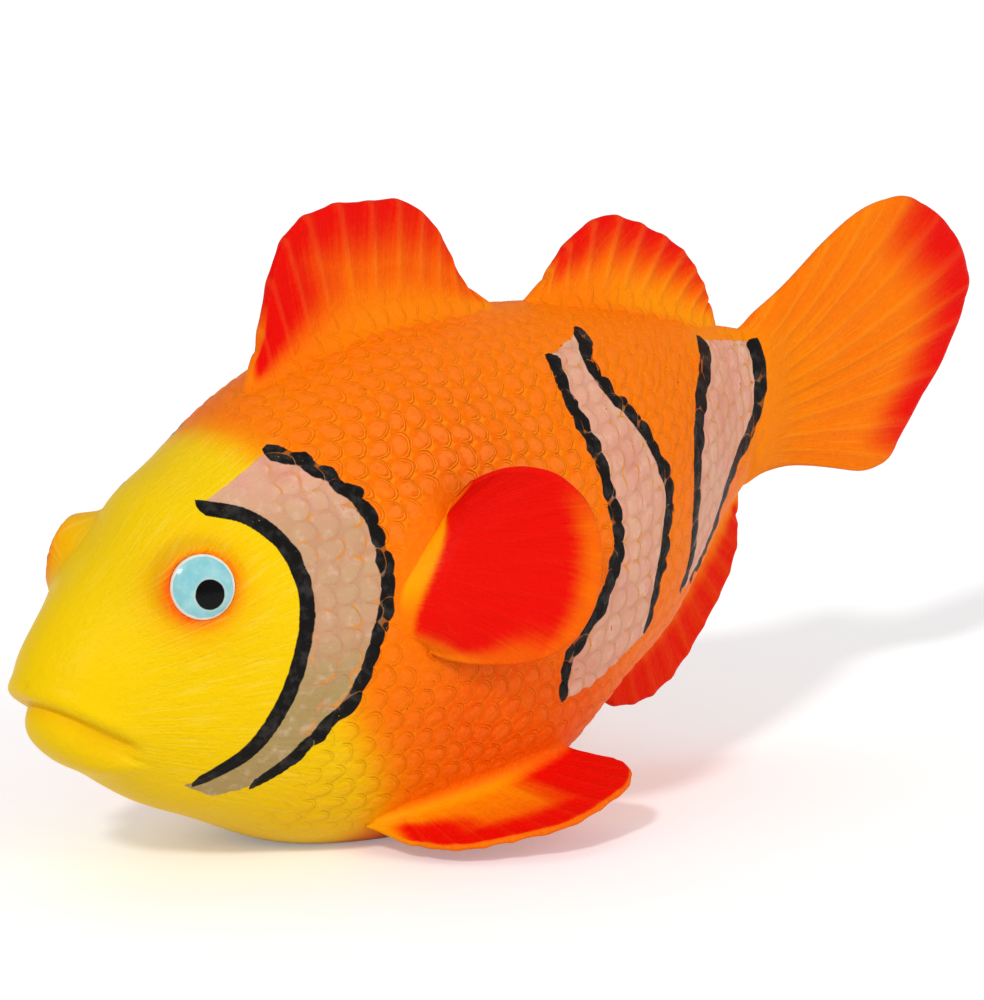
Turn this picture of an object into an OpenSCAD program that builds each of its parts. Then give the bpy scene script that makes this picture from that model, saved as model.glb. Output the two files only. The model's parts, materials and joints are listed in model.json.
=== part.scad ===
// Soft rubber reef fish: a hollow moulded skin round a fibre filling, a plug in the belly,
// two set-in eyes and eight fins that bend at their roots.
// Millimetres, +Z up, nose towards -X, the fish's left side at -Y. The belly is flat on Z = 0,
// and the origin is under the middle of the fish's length.

/* [Body] */
// Length from the upper lip to the end of the tail stalk
trunk_length = 146; // [132:1:160]
// Height of the back above the surface that the fish rests on
body_height = 79; // [71:1:87]
// Greatest width of the body
body_width = 62; // [56:1:68]
// Depth of the belly's curve that is cut away to leave the flat that the fish rests on
belly_flat_depth = 2.5; // [2:0.25:3.5]
// Thickness of the rubber skin round the filling
skin_wall = 3; // [2:0.25:4]
// Gap between the skin and the filling
filling_gap = 0.4; // [0.2:0.1:1]
// Length of the snout that is solid rubber
solid_snout = 26; // [24:0.5:30]
// Length of the tail stalk that is solid rubber
solid_stalk = 24; // [20:0.5:30]

/* [Mouth] */
// Height of the slot between the lips
mouth_gap = 1.4; // [1:0.1:2]
// Distance of the mouth's corners back from the upper lip
mouth_depth = 12; // [9:0.5:15]
// Drop of the mouth's corners below its middle
mouth_drop = 7; // [5:0.5:9]
// Drop of the mouth's middle below the tip of the snout
mouth_below_tip = 2.5; // [1.5:0.25:4]
// Distance that the lips swell out of the snout
lip_height = 1; // [0.5:0.1:1.6]
// Height of each lip
lip_width = 3; // [2:0.25:4]
// Distance of the lower lip back from the upper lip
lower_lip_setback = 1.8; // [1:0.2:2.4]

/* [Eyes] */
// Diameter of an eye button
eye_diameter = 9.5; // [8:0.5:11]
// Height of an eye's dome above its rim
eye_dome = 1.5; // [1:0.1:2]
// Depth of the socket that an eye button sits in
eye_socket_depth = 2; // [1.5:0.25:2.5]
// Clearance round an eye button in its socket
eye_clearance = 0.15; // [0.1:0.05:0.3]
// Depth of an eye's rim below the top of its mound
eye_rim_sink = 0.6; // [0.4:0.1:1]
// Height of the mound moulded round an eye
eye_mound_height = 4; // [3:0.25:5]
// Distance from an eye's middle at which its mound has fallen to about a third
eye_mound_spread = 8; // [7:0.25:9]
// Distance of an eye back from the upper lip
eye_setback = 20; // [18:0.5:22]
// Turn of an eye towards the nose, in degrees
eye_turn = 27; // [20:1:34]
// Tilt of an eye upwards, in degrees
eye_tilt = 12; // [6:1:18]

/* [Fins] */
// Thickness of a fin at its root
fin_root_thickness = 4; // [3:0.25:5]
// Thickness of a fin at its edge
fin_edge_thickness = 2; // [1.5:0.25:2.5]
// Gap under a fin's root, along the line where the rubber bends
flexure_gap = 0.35; // [0.3:0.05:0.5]
// Depth of the scallops along a fin's edge
scallop_depth = 0.5; // [0.2:0.1:0.8]
// Length of the front dorsal fin's root
front_dorsal_length = 46; // [40:1:52]
// Height of the front dorsal fin above the back
front_dorsal_height = 22; // [17:0.5:27]
// Length of the rear dorsal fin's root
rear_dorsal_length = 37; // [32:1:40]
// Height of the rear dorsal fin above the back
rear_dorsal_height = 16; // [12:0.5:20]
// Length of the anal fin's root, along the body
anal_fin_length = 31; // [26:1:33]
// Depth of the anal fin below the belly
anal_fin_depth = 15; // [12:0.5:18]
// Length of the tail fin behind the middle of its root
tail_fin_length = 54; // [44:1:64]
// Height of the tail fin
tail_fin_height = 45; // [40:1:52]
// Rise of the tail fin's middle above the middle of the tail stalk
tail_fin_lift = 8; // [5:0.5:10]
// Diameter of the tail fin's round root
tail_root_diameter = 8.6; // [7:0.2:11]

/* [Paired fins] */
// Length of a pectoral fin from its root
pectoral_fin_length = 27; // [22:0.5:32]
// Height of a pectoral fin
pectoral_fin_height = 30; // [25:0.5:35]
// Length of a pectoral fin's root
pectoral_root_length = 18; // [14:0.5:22]
// Height of a pectoral fin's middle above the resting surface
pectoral_rise = 46.5; // [42:0.5:51]
// Angle of a pectoral fin out from the body's length, in degrees
pectoral_spread = 28; // [24:1:40]
// Length of a pelvic fin's root
pelvic_root_length = 30; // [26:1:34]
// Width of a pelvic fin out from its root
pelvic_fin_width = 15; // [12:0.5:18]
// Height of the front and rear ends of a pelvic fin's root on the skin
pelvic_root_rise = [5.5, 11.5]; // [3:0.5:14]
// Angle of a pelvic fin below level, in degrees
pelvic_droop = 8; // [3:1:10]

/* [Belly plug] */
// Diameter of the filling hole in the belly
filling_hole_diameter = 13; // [10:0.5:15]
// Clearance round the plug's stem and flange
plug_clearance = 0.15; // [0.1:0.05:0.3]
// Width of the plug's flange outside its stem
plug_flange_width = 2.5; // [1.5:0.25:3]
// Thickness of the plug's flange
plug_flange_thickness = 1.2; // [0.8:0.1:1.4]
// Depth of the flange above the belly's flat
plug_recess = 0.3; // [0.2:0.1:0.5]
// Width of the bead that holds the plug's stem behind the skin
plug_bead = 0.6; // [0.4:0.1:0.9]

/* [Hidden] */
$fn = 64;

// Places along the trunk, in shares of its length
front_dorsal_share = 0.4625;
rear_dorsal_share = 0.8175;
anal_fin_share = 0.8775;
pectoral_share = 0.37;
pelvic_share = 0.4825;
plug_share = 0.48;

nose_x = -(trunk_length + tail_fin_length) / 2;
stalk_x = nose_x + trunk_length;
function place_x(share) = nose_x + share * trunk_length;

// The tail stalk ends as wide as the seat for the tail's root
tail_root_radius = tail_root_diameter / 2;
stalk_half_width = tail_root_radius + flexure_gap;

// Shape of the body at stations along the trunk. The place is a share of the trunk's length.
// The heights of the back, the belly and the widest line are shares of the body's height,
// and the last value is a share of half the body's width.
// place, back, belly, widest line, half width
STATIONS = [
    [0.000, 0.425, 0.425, 0.425, 0.00],
    [0.020, 0.505, 0.320, 0.410, 0.25],
    [0.055, 0.578, 0.265, 0.410, 0.37],
    [0.095, 0.645, 0.215, 0.425, 0.47],
    [0.150, 0.733, 0.160, 0.450, 0.60],
    [0.220, 0.825, 0.100, 0.475, 0.74],
    [0.315, 0.928, 0.030, 0.490, 0.89],
    [0.425, 0.990, 0.000, 0.490, 0.985],
    [0.550, 1.000, 0.008, 0.490, 1.00],
    [0.660, 0.993, 0.098, 0.515, 0.925],
    [0.770, 0.972, 0.222, 0.565, 0.745],
    [0.865, 0.935, 0.350, 0.635, 0.51],
    [0.945, 0.890, 0.472, 0.680, 0.28],
    [1.000, 0.865, 0.545, 0.700, stalk_half_width / (body_width / 2)]
];
last_station = len(STATIONS) - 1;

// The curves run through the stations on the root of the place, which rounds the nose off
function station_key(i) = sqrt(STATIONS[i][0]);

function station_slope(i, column) =
    let (a = max(i - 1, 0), b = min(i + 1, last_station))
    (STATIONS[b][column] - STATIONS[a][column]) / (station_key(b) - station_key(a));

function shape_at(share, column) =
    let (
        key = sqrt(share),
        i = min(max([for (k = [0:last_station]) station_key(k) <= key ? k : 0]), last_station - 1),
        span = station_key(i + 1) - station_key(i),
        t = (key - station_key(i)) / span
    )
    STATIONS[i][column] * (1 + 2 * t) * pow(1 - t, 2)
    + STATIONS[i + 1][column] * t * t * (3 - 2 * t)
    + span * station_slope(i, column) * t * pow(1 - t, 2)
    - span * station_slope(i + 1, column) * t * t * (1 - t);

function share_of(x) = min(max((x - nose_x) / trunk_length, 0), 1);
function height_of(share) = share * (body_height + belly_flat_depth) - belly_flat_depth;
function back_z(x) = height_of(shape_at(share_of(x), 1));
function belly_z(x) = height_of(shape_at(share_of(x), 2));
function widest_z(x) = height_of(shape_at(share_of(x), 3));
function half_width(x) = body_width / 2 * shape_at(share_of(x), 4);

// The body's section is a rounder oval below its widest line than above it
upper_power = 1.8;
lower_power = 2.2;
function signed_power(v, p) = sign(v) * pow(abs(v), p);
function unit(v) = v / norm(v);

// The eyes sit on mounds, a little above halfway from the widest line to the back
eye_level = 0.6;
eye_x = nose_x + eye_setback;
eye_z = widest_z(eye_x) + eye_level * (back_z(eye_x) - widest_z(eye_x));
function eye_mound(x, z) =
    eye_mound_height * exp(-(pow(x - eye_x, 2) + pow(z - eye_z, 2)) / pow(eye_mound_spread, 2));

// The lips swell along the line of the mouth and fade out past its corners
mouth_z = widest_z(nose_x) - mouth_below_tip;
function mouth_line_z(x) = mouth_z - (x - nose_x) * mouth_drop / mouth_depth;
function lip(x, z) =
    lip_height
    * exp(-pow((z - mouth_line_z(x)) / lip_width, 2))
    * exp(-pow((x - nose_x) / mouth_depth, 4));

// The lower lip stands back behind the upper one, most at its middle
function setback(x, z) =
    let (below = min(max((mouth_line_z(x) - z) / mouth_gap + 1 / 2, 0), 1))
    lower_lip_setback * below * exp(-pow(2 * (x - nose_x) / mouth_depth, 2));

// Distance of the right side from the middle plane at a place and height, without mounds and lips
function side_y(x, z) =
    let (
        up = z >= widest_z(x),
        power = up ? upper_power : lower_power,
        height = up ? back_z(x) - widest_z(x) : widest_z(x) - belly_z(x),
        t = min(abs(z - widest_z(x)) / height, 1)
    )
    half_width(x) * pow(1 - pow(t, power), 1 / power);

// Half of the step over which the skin's slope is measured
slope_step = 0.5;

// Foot of a fin on the right side: a point of the skin and the direction out of it
function side_foot(x, z) = [
    [x, side_y(x, z), z],
    unit([
        side_y(x - slope_step, z) - side_y(x + slope_step, z),
        2 * slope_step,
        side_y(x, z - slope_step) - side_y(x, z + slope_step)
    ])
];

// Foot of a fin in the middle plane, on the back or the belly
function ridge_z(x, below) = below ? belly_z(x) : back_z(x);
function ridge_foot(x, below) = [
    [x, 0, ridge_z(x, below)],
    unit([
        ridge_z(x - slope_step, below) - ridge_z(x + slope_step, below),
        0,
        2 * slope_step
    ]) * (below ? -1 : 1)
];

// Mounds and lips die out towards the middle plane
swell_power = 0.5;

// Point on the body at a place and an angle up from its right side, taken in by an inset
function body_point(x, angle, inset) =
    let (
        up = sin(angle) >= 0,
        power = up ? upper_power : lower_power,
        height = (up ? back_z(x) - widest_z(x) : widest_z(x) - belly_z(x)) - inset,
        across = signed_power(cos(angle), 2 / power),
        z = widest_z(x) + height * signed_power(sin(angle), 2 / power),
        swell = signed_power(across, swell_power) * (eye_mound(x, z) + lip(x, z))
    )
    [x + setback(x, z), (half_width(x) - inset) * across + swell, z];

// Solid through closed rings of equal length, with flat ends
module loft(rings) {
    count = len(rings[0]);
    last = len(rings) - 1;
    sides = [
        for (i = [0:last - 1], j = [0:count - 1])
            let (
                a = i * count + j,
                b = i * count + (j + 1) % count,
                c = b + count,
                d = a + count
            )
            each [[a, b, c], [a, c, d]]
    ];
    ends = [
        [for (j = [count - 1:-1:0]) j],
        [for (j = [0:count - 1]) last * count + j]
    ];
    polyhedron([for (ring = rings) each ring], concat(sides, ends), convexity = 6);
}

// Lofted body between two places, taken in by an inset and kept above a floor
module body_form(first_x, last_x, inset, floor_z, rings, sides, crowding) {
    loft([
        for (i = [0:rings])
            let (x = first_x + (last_x - first_x) * pow(i / rings, crowding))
            [
                for (j = [0:sides - 1])
                    let (p = body_point(x, -j * 360 / sides, inset))
                    [p[0], p[1], max(p[2], floor_z)]
            ]
    ]);
}

// The outside starts a little behind the snout's tip and has its rings crowded towards it
nose_cap = 0.1;
margin = 1;
module outer_form() {
    floor_z = -belly_flat_depth - margin;
    body_form(nose_x + nose_cap, stalk_x, 0, floor_z, rings = 40, sides = 48, crowding = 1.5);
}

module inner_form(gap) {
    inset = skin_wall + gap;
    first_x = nose_x + solid_snout + gap;
    last_x = stalk_x - solid_stalk - gap;
    body_form(first_x, last_x, inset, inset, rings = 16, sides = 24, crowding = 1);
}

// Slot between the lips, from the front of the snout down to the mouth's corners
module mouth_slot() {
    slope = atan2(mouth_drop, mouth_depth);
    reach = norm([mouth_drop, mouth_depth]);
    translate([nose_x, 0, mouth_z])
        rotate([0, slope, 0]) {
            translate([-reach, -body_width / 2, -mouth_gap / 2])
                cube([2 * reach, body_width, mouth_gap]);
            translate([reach, body_width / 2, 0])
                rotate([90, 0, 0])
                    cylinder(d = mouth_gap, h = body_width);
        }
}

// Frame of the right eye: its Z axis points out along the eye, from the level of its rim
eye_rim_y = side_y(eye_x, eye_z) + eye_mound_height - eye_rim_sink;
module at_right_eye() {
    translate([eye_x, eye_rim_y, eye_z])
        rotate([0, 0, eye_turn])
            rotate([eye_tilt - 90, 0, 0])
                children();
}

module eye_socket() {
    at_right_eye()
        translate([0, 0, -eye_socket_depth])
            cylinder(d = eye_diameter + 2 * eye_clearance, h = eye_socket_depth + eye_diameter);
}

plug_x = place_x(plug_share);
flange_diameter = filling_hole_diameter + 2 * plug_flange_width;
flange_top = plug_recess + plug_flange_thickness;
module filling_hole() {
    translate([plug_x, 0, -margin]) {
        cylinder(d = filling_hole_diameter, h = skin_wall + 2 * margin);
        cylinder(d = flange_diameter + 2 * plug_clearance, h = flange_top + plug_clearance + margin);
    }
}

module below_table() {
    depth = belly_flat_depth + 2 * margin;
    translate([nose_x, -body_width / 2, -depth])
        cube([trunk_length, body_width, depth]);
}

module tail_seat() {
    translate([stalk_x, 0, 0]) cylinder(r = stalk_half_width, h = body_height);
}

module body_skin() {
    color("darkorange")
        difference() {
            outer_form();
            inner_form(0);
            below_table();
            filling_hole();
            mouth_slot();
            tail_seat();
            eye_socket();
            mirror([0, 1, 0]) eye_socket();
        }
}

// Plug with a flange outside the skin, a stem through it and a bead that snaps in behind it
bead_z = skin_wall + plug_clearance + plug_bead;
stem_top = bead_z + 2 * plug_bead;
module belly_plug() {
    stem = filling_hole_diameter / 2 - plug_clearance;
    color("orange")
        translate([plug_x, 0, 0])
            rotate_extrude()
                polygon([
                    [0, plug_recess],
                    [flange_diameter / 2, plug_recess],
                    [flange_diameter / 2, flange_top],
                    [stem, flange_top],
                    [stem, bead_z - plug_bead],
                    [stem + plug_bead, bead_z],
                    [stem - plug_bead, stem_top],
                    [0, stem_top]
                ]);
}

module fibre_filling() {
    clear_diameter = filling_hole_diameter + 2 * (plug_bead + filling_gap);
    color("white")
        difference() {
            inner_form(filling_gap);
            translate([plug_x, 0, 0])
                cylinder(d = clear_diameter, h = stem_top + filling_gap);
        }
}

// Button with a domed front and a chamfered back
eye_chamfer = 0.4;
module eye_button() {
    radius = eye_diameter / 2;
    dome_radius = (radius * radius + eye_dome * eye_dome) / (2 * eye_dome);
    top = eye_socket_depth + eye_dome;
    color("lightblue")
        at_right_eye()
            translate([0, 0, -eye_socket_depth])
                rotate_extrude()
                    intersection() {
                        translate([0, top - dome_radius])
                            circle(r = dome_radius);
                        polygon([
                            [0, 0],
                            [radius - eye_chamfer, 0],
                            [radius, eye_chamfer],
                            [radius, top],
                            [0, top]
                        ]);
                    }
}

module right_eye() {
    eye_button();
}

module left_eye() {
    mirror([0, 1, 0]) eye_button();
}

// Smooth curve through a list of points, by a share of the way along the list
function curve(points, share) =
    let (
        last = len(points) - 1,
        i = min(floor(share * last), last - 1),
        t = share * last - i,
        a = points[max(i - 1, 0)],
        b = points[i],
        c = points[i + 1],
        d = points[min(i + 2, last)]
    )
    b + 0.5 * t * (c - a + t * (2 * a - 5 * b + 4 * c - d + t * (3 * (b - c) + d - a)));

// Closed section of a fin along one of its ribs: a round bead over the skin, two faces that taper
// and a round rim
face_steps = 3;
diagonal = sqrt(0.5);
function rib_section(root, inward, edge, side, root_half, edge_half) =
    let (
        face = [
            for (k = [0:face_steps])
                let (v = k / face_steps)
                [root + (edge - root) * v, root_half + (edge_half - root_half) * v * (2 - v)]
        ]
    )
    concat(
        [root + inward * root_half, root + (inward + side) * diagonal * root_half],
        [for (p = face) p[0] + side * p[1]],
        [edge + unit(edge - root) * edge_half],
        [for (k = [face_steps:-1:0]) face[k][0] - side * face[k][1]],
        [root + (inward - side) * diagonal * root_half]
    );

// Blade of a fin from its feet on the skin to its edge, with rays that swell its rim and scallop
// its edge. Ribs shorter than a full one are slimmer too, so that the fin's ends run out.
steps_per_ray = 4;
full_rib = 7;
least_slimness = 0.35;
ray_swell = 0.1;
rim = fin_edge_thickness / 2;
module blade(feet, edges, side, rays, root_thickness) {
    last = rays * steps_per_ray;
    points = [for (foot = feet) foot[0]];
    lifts = [for (foot = feet) foot[1]];
    loft([
        for (i = [0:last])
            let (
                tip = curve(edges, i / last),
                foot = curve(points, i / last),
                lift = unit(curve(lifts, i / last)),
                slim = min(least_slimness + (1 - least_slimness) * norm(tip - foot) / full_rib, 1),
                root_half = root_thickness / 2 * slim,
                root = foot + lift * (flexure_gap + root_half),
                inward = unit(side * (lift * side) - lift),
                ray = -cos(360 * i / steps_per_ray),
                edge = tip + unit(tip - root) * (ray - 1) / 2 * scallop_depth
            )
            rib_section(root, inward, edge, side, root_half, rim * slim * (1 + ray_swell * ray))
    ]);
}

// Upright fin on the back or the belly, over a length round a share of the trunk.
// Its outline is in shares of the chord of its root and of the fin's height.
feet_steps = 8;
module ridge_fin(share, length, height, outline, rays, below = false) {
    first_x = place_x(share) - length / 2;
    feet = [for (k = [0:feet_steps]) ridge_foot(first_x + length * k / feet_steps, below)];
    chord = feet[feet_steps][0] - feet[0][0];
    side = [0, below ? 1 : -1, 0];
    out = unit(cross(side, chord));
    edges = [for (p = outline) feet[0][0] + chord * p[0] + out * (height - rim) * p[1]];
    blade(feet, edges, side, rays, fin_root_thickness);
}

FRONT_DORSAL = [
    [0.02, 0.20], [0.07, 0.54], [0.15, 0.88], [0.25, 1.03], [0.40, 1.02], [0.54, 1.00],
    [0.65, 0.93], [0.74, 0.78], [0.81, 0.58], [0.88, 0.36], [0.97, 0.19]
];
module front_dorsal_fin() {
    color("orangered")
        ridge_fin(
            front_dorsal_share, front_dorsal_length, front_dorsal_height, FRONT_DORSAL, rays = 11
        );
}

REAR_DORSAL = [
    [0.02, 0.22], [0.09, 0.46], [0.20, 0.76], [0.34, 0.95], [0.48, 1.00], [0.62, 0.94],
    [0.76, 0.83], [0.87, 0.68], [0.95, 0.50], [1.00, 0.34], [1.01, 0.22]
];
module rear_dorsal_fin() {
    color("orangered")
        ridge_fin(
            rear_dorsal_share, rear_dorsal_length, rear_dorsal_height, REAR_DORSAL, rays = 10
        );
}

ANAL = [
    [0.01, 0.26], [0.00, 0.50], [0.07, 0.74], [0.17, 0.92], [0.30, 1.00], [0.44, 0.99],
    [0.58, 0.93], [0.72, 0.84], [0.84, 0.70], [0.94, 0.48], [0.99, 0.24]
];
module anal_fin() {
    color("orangered")
        ridge_fin(
            anal_fin_share, anal_fin_length, anal_fin_depth, ANAL, rays = 11, below = true
        );
}

// The tail turns on a round root that nests in the end of the tail stalk.
// Its outline is in shares of its length and of half its height.
tail_root_inset = 1.2;
tail_root_bottom = belly_z(stalk_x) + tail_root_inset;
tail_root_top = back_z(stalk_x) - tail_root_inset;
tail_blade_share = 0.8;
TAIL = [
    [0.09, -0.88], [0.22, -0.83], [0.37, -0.93], [0.52, -1.01], [0.65, -0.94],
    [0.78, -0.61], [0.90, -0.26], [0.98, 0.10], [1.00, 0.42], [0.91, 0.78],
    [0.72, 1.01], [0.52, 0.99], [0.33, 0.74], [0.18, 0.47], [0.08, 0.29]
];
module tail_fin() {
    middle = (tail_root_bottom + tail_root_top) / 2 + tail_fin_lift;
    blade_thickness = tail_blade_share * tail_root_diameter;
    feet = [
        for (z = [tail_root_bottom + rim, tail_root_top - rim])
            [[stalk_x, 0, z], [1, 0, 0]]
    ];
    edges = [
        for (p = TAIL)
            [stalk_x, 0, middle]
            + [(tail_fin_length - rim) * p[0], 0, (tail_fin_height / 2 - rim) * p[1]]
    ];
    color("orangered") {
        blade(feet, edges, [0, 1, 0], rays = 13, root_thickness = blade_thickness);
        translate([stalk_x, 0, tail_root_bottom])
            cylinder(r = tail_root_radius, h = tail_root_top - tail_root_bottom);
    }
}

// The paired fins are made on the right, and the left ones are their mirror images.
// A pectoral fin's outline is in shares of its length and of half its height.
pectoral_lean = 5;
pectoral_root_drop = 3;
PECTORAL = [
    [0.10, -0.72], [0.30, -0.96], [0.52, -1.00], [0.74, -0.92], [0.92, -0.66], [1.00, -0.22],
    [1.00, 0.18], [0.91, 0.56], [0.78, 0.85], [0.62, 1.00], [0.42, 0.98], [0.22, 0.72]
];
module right_pectoral_fin() {
    root_x = place_x(pectoral_share);
    root_z = pectoral_rise - pectoral_root_drop;
    feet = [
        for (k = [0:feet_steps])
            let (share = k / feet_steps - 0.5)
            side_foot(root_x + pectoral_lean * share, root_z + pectoral_root_length * share)
    ];
    out = [cos(pectoral_spread), sin(pectoral_spread), 0];
    middle = (feet[0][0] + feet[feet_steps][0]) / 2;
    start = middle + feet[feet_steps / 2][1] * fin_root_thickness / 2;
    edges = [
        for (p = PECTORAL)
            [start[0], start[1], pectoral_rise]
            + out * (pectoral_fin_length - rim) * p[0]
            + [0, 0, (pectoral_fin_height / 2 - rim) * p[1]]
    ];
    color("red")
        blade(feet, edges, [-out[1], out[0], 0], rays = 12, root_thickness = fin_root_thickness);
}

module left_pectoral_fin() {
    mirror([0, 1, 0]) right_pectoral_fin();
}

// A pelvic fin's outline is in shares of the chord of its root and of its width
PELVIC = [
    [-0.02, 0.32], [0.02, 0.60], [0.10, 0.82], [0.22, 0.95], [0.38, 1.00], [0.55, 1.02],
    [0.72, 1.02], [0.88, 0.99], [1.02, 0.89], [1.10, 0.72], [1.10, 0.50], [1.05, 0.30]
];
module right_pelvic_fin() {
    first_x = place_x(pelvic_share) - pelvic_root_length / 2;
    feet = [
        for (k = [0:feet_steps])
            let (share = k / feet_steps)
            side_foot(
                first_x + pelvic_root_length * share,
                pelvic_root_rise[0] + (pelvic_root_rise[1] - pelvic_root_rise[0]) * share
            )
    ];
    start = feet[0][0] + feet[0][1] * fin_root_thickness / 2;
    chord = feet[feet_steps][0] + feet[feet_steps][1] * fin_root_thickness / 2 - start;
    out = [0, cos(pelvic_droop), -sin(pelvic_droop)];
    side = unit(cross(chord, out));
    edges = [for (p = PELVIC) start + chord * p[0] + out * (pelvic_fin_width - rim) * p[1]];
    color("orangered")
        blade(feet, edges, side, rays = 11, root_thickness = fin_root_thickness);
}

module left_pelvic_fin() {
    mirror([0, 1, 0]) right_pelvic_fin();
}

body_skin();
fibre_filling();
belly_plug();
left_eye();
right_eye();
front_dorsal_fin();
rear_dorsal_fin();
tail_fin();
anal_fin();
left_pectoral_fin();
right_pectoral_fin();
left_pelvic_fin();
right_pelvic_fin();
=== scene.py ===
import json
import math
from functools import partialmethod
from types import SimpleNamespace

import bpy
import numpy as np
from mathutils import Matrix, Vector


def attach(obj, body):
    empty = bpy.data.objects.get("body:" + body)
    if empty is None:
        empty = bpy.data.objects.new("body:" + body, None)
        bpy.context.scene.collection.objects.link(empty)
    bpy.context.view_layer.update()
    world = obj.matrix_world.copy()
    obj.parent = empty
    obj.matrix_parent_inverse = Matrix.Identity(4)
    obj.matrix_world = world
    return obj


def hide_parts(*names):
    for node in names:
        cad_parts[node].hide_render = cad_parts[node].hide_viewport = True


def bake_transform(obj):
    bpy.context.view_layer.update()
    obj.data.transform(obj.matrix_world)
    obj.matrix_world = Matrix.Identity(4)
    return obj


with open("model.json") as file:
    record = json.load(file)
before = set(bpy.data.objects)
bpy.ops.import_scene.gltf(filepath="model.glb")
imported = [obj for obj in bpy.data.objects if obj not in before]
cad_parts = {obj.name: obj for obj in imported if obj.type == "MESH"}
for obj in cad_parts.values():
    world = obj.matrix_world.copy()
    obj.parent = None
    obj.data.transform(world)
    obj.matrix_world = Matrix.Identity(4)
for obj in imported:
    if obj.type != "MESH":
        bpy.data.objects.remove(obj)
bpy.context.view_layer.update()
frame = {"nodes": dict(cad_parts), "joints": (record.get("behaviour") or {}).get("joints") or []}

# Everything below is worked out in millimetres in the part's frame: nose towards -X, the fish's left at -Y.
MM = 0.001
NOSE_X = -100.0
STALK_X = 46.0
TRUNK = STALK_X - NOSE_X
BODY_HEIGHT = 79.0
HALF_WIDTH = 31.0
FLAT_DEPTH = 2.5
UPPER_POWER = 1.8
LOWER_POWER = 2.2

# The body's stations, in shares of its length, height and half width:
# place, back, belly, widest line and half width
STATIONS = np.array([
    [0.000, 0.425, 0.425, 0.425, 0.000],
    [0.020, 0.505, 0.320, 0.410, 0.250],
    [0.055, 0.578, 0.265, 0.410, 0.370],
    [0.095, 0.645, 0.215, 0.425, 0.470],
    [0.150, 0.733, 0.160, 0.450, 0.600],
    [0.220, 0.825, 0.100, 0.475, 0.740],
    [0.315, 0.928, 0.030, 0.490, 0.890],
    [0.425, 0.990, 0.000, 0.490, 0.985],
    [0.550, 1.000, 0.008, 0.490, 1.000],
    [0.660, 0.993, 0.098, 0.515, 0.925],
    [0.770, 0.972, 0.222, 0.565, 0.745],
    [0.865, 0.935, 0.350, 0.635, 0.510],
    [0.945, 0.890, 0.472, 0.680, 0.280],
    [1.000, 0.865, 0.545, 0.700, 0.150],
])
KEYS = np.sqrt(STATIONS[:, 0])
BACK, BELLY, WIDEST, WIDTH = 1, 2, 3, 4

# Eyes, mouth and plug
EYE = np.array([-80.0, 16.74, 46.88])
EYE_OUT = np.array([-0.444, 0.871, 0.208])
EYE_RADIUS = 4.95
EYE_DOME = 1.25
MOUND_HEIGHT = 4.0
MOUND_SPREAD = 8.0
MOUND_SPREAD_UP = 3.9
MOUTH_Z = 29.64
MOUTH_SLOPE = 7.0 / 12.0
MOUTH_COSINE = 0.864
PLUG_X = -29.92
PLUG_RECESS = 9.15

# Rise of the belly behind the pelvic fins
BELLY_RISE = 4.8
BELLY_RISE_X = 3.0
BELLY_RISE_LENGTH = 11.0


def smooth(value, low, high):
    """Smooth step of an array from 0 at low to 1 at high."""
    t = np.clip((value - low) / (high - low), 0, 1)
    return t * t * (3 - 2 * t)


def bell(value, width):
    return np.exp(-(value / width) ** 2)


def blob(x, z, centre, radii):
    """Round soft patch in the side view."""
    return bell(x - centre[0], radii[0]) * bell(z - centre[1], radii[1])


def patches(x, z, table):
    """Soft patches in the side view, each given by its amount, centre and radii."""
    return [amount * blob(x, z, centre, radii) for amount, centre, radii in table]


def most(*amounts):
    return np.maximum.reduce(amounts)


def unit(v):
    return v / np.maximum(np.linalg.norm(v, axis=-1, keepdims=True), 1e-9)


def curve(points, share):
    """Smooth curve through points, at shares of the way along the list."""
    points = np.asarray(points, float)
    last = len(points) - 1
    i = np.clip(np.floor(share * last).astype(int), 0, last - 1)
    t = (share * last - i)[:, None]
    a, b = points[np.maximum(i - 1, 0)], points[i]
    c, d = points[i + 1], points[np.minimum(i + 2, last)]
    return b + 0.5 * t * (c - a + t * (2 * a - 5 * b + 4 * c - d + t * (3 * (b - c) + d - a)))


# ---- body surface

def shape(x, column):
    """A station column's value at places along the trunk."""
    share = np.clip((np.asarray(x, float) - NOSE_X) / TRUNK, 0, 1)
    key = np.sqrt(share)
    values = STATIONS[:, column]
    slopes = np.empty_like(values)
    slopes[1:-1] = (values[2:] - values[:-2]) / (KEYS[2:] - KEYS[:-2])
    slopes[0] = (values[1] - values[0]) / (KEYS[1] - KEYS[0])
    slopes[-1] = (values[-1] - values[-2]) / (KEYS[-1] - KEYS[-2])
    i = np.clip(np.searchsorted(KEYS, key, side="right") - 1, 0, len(KEYS) - 2)
    span = KEYS[i + 1] - KEYS[i]
    t = (key - KEYS[i]) / span
    return (values[i] * (1 + 2 * t) * (1 - t) ** 2 + values[i + 1] * t * t * (3 - 2 * t)
            + span * slopes[i] * t * (1 - t) ** 2 - span * slopes[i + 1] * t * t * (1 - t))


def level(x, column):
    return shape(x, column) * (BODY_HEIGHT + FLAT_DEPTH) - FLAT_DEPTH


def half_width(x):
    return HALF_WIDTH * shape(x, WIDTH)


def side_y(x, z):
    """Distance of the plain flank from the middle plane."""
    middle = level(x, WIDEST)
    up = z >= middle
    power = np.where(up, UPPER_POWER, LOWER_POWER)
    height = np.where(up, level(x, BACK) - middle, middle - level(x, BELLY))
    t = np.clip(np.abs(z - middle) / np.maximum(height, 1e-6), 0, 1)
    return half_width(x) * (1 - t ** power) ** (1 / power)


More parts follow.
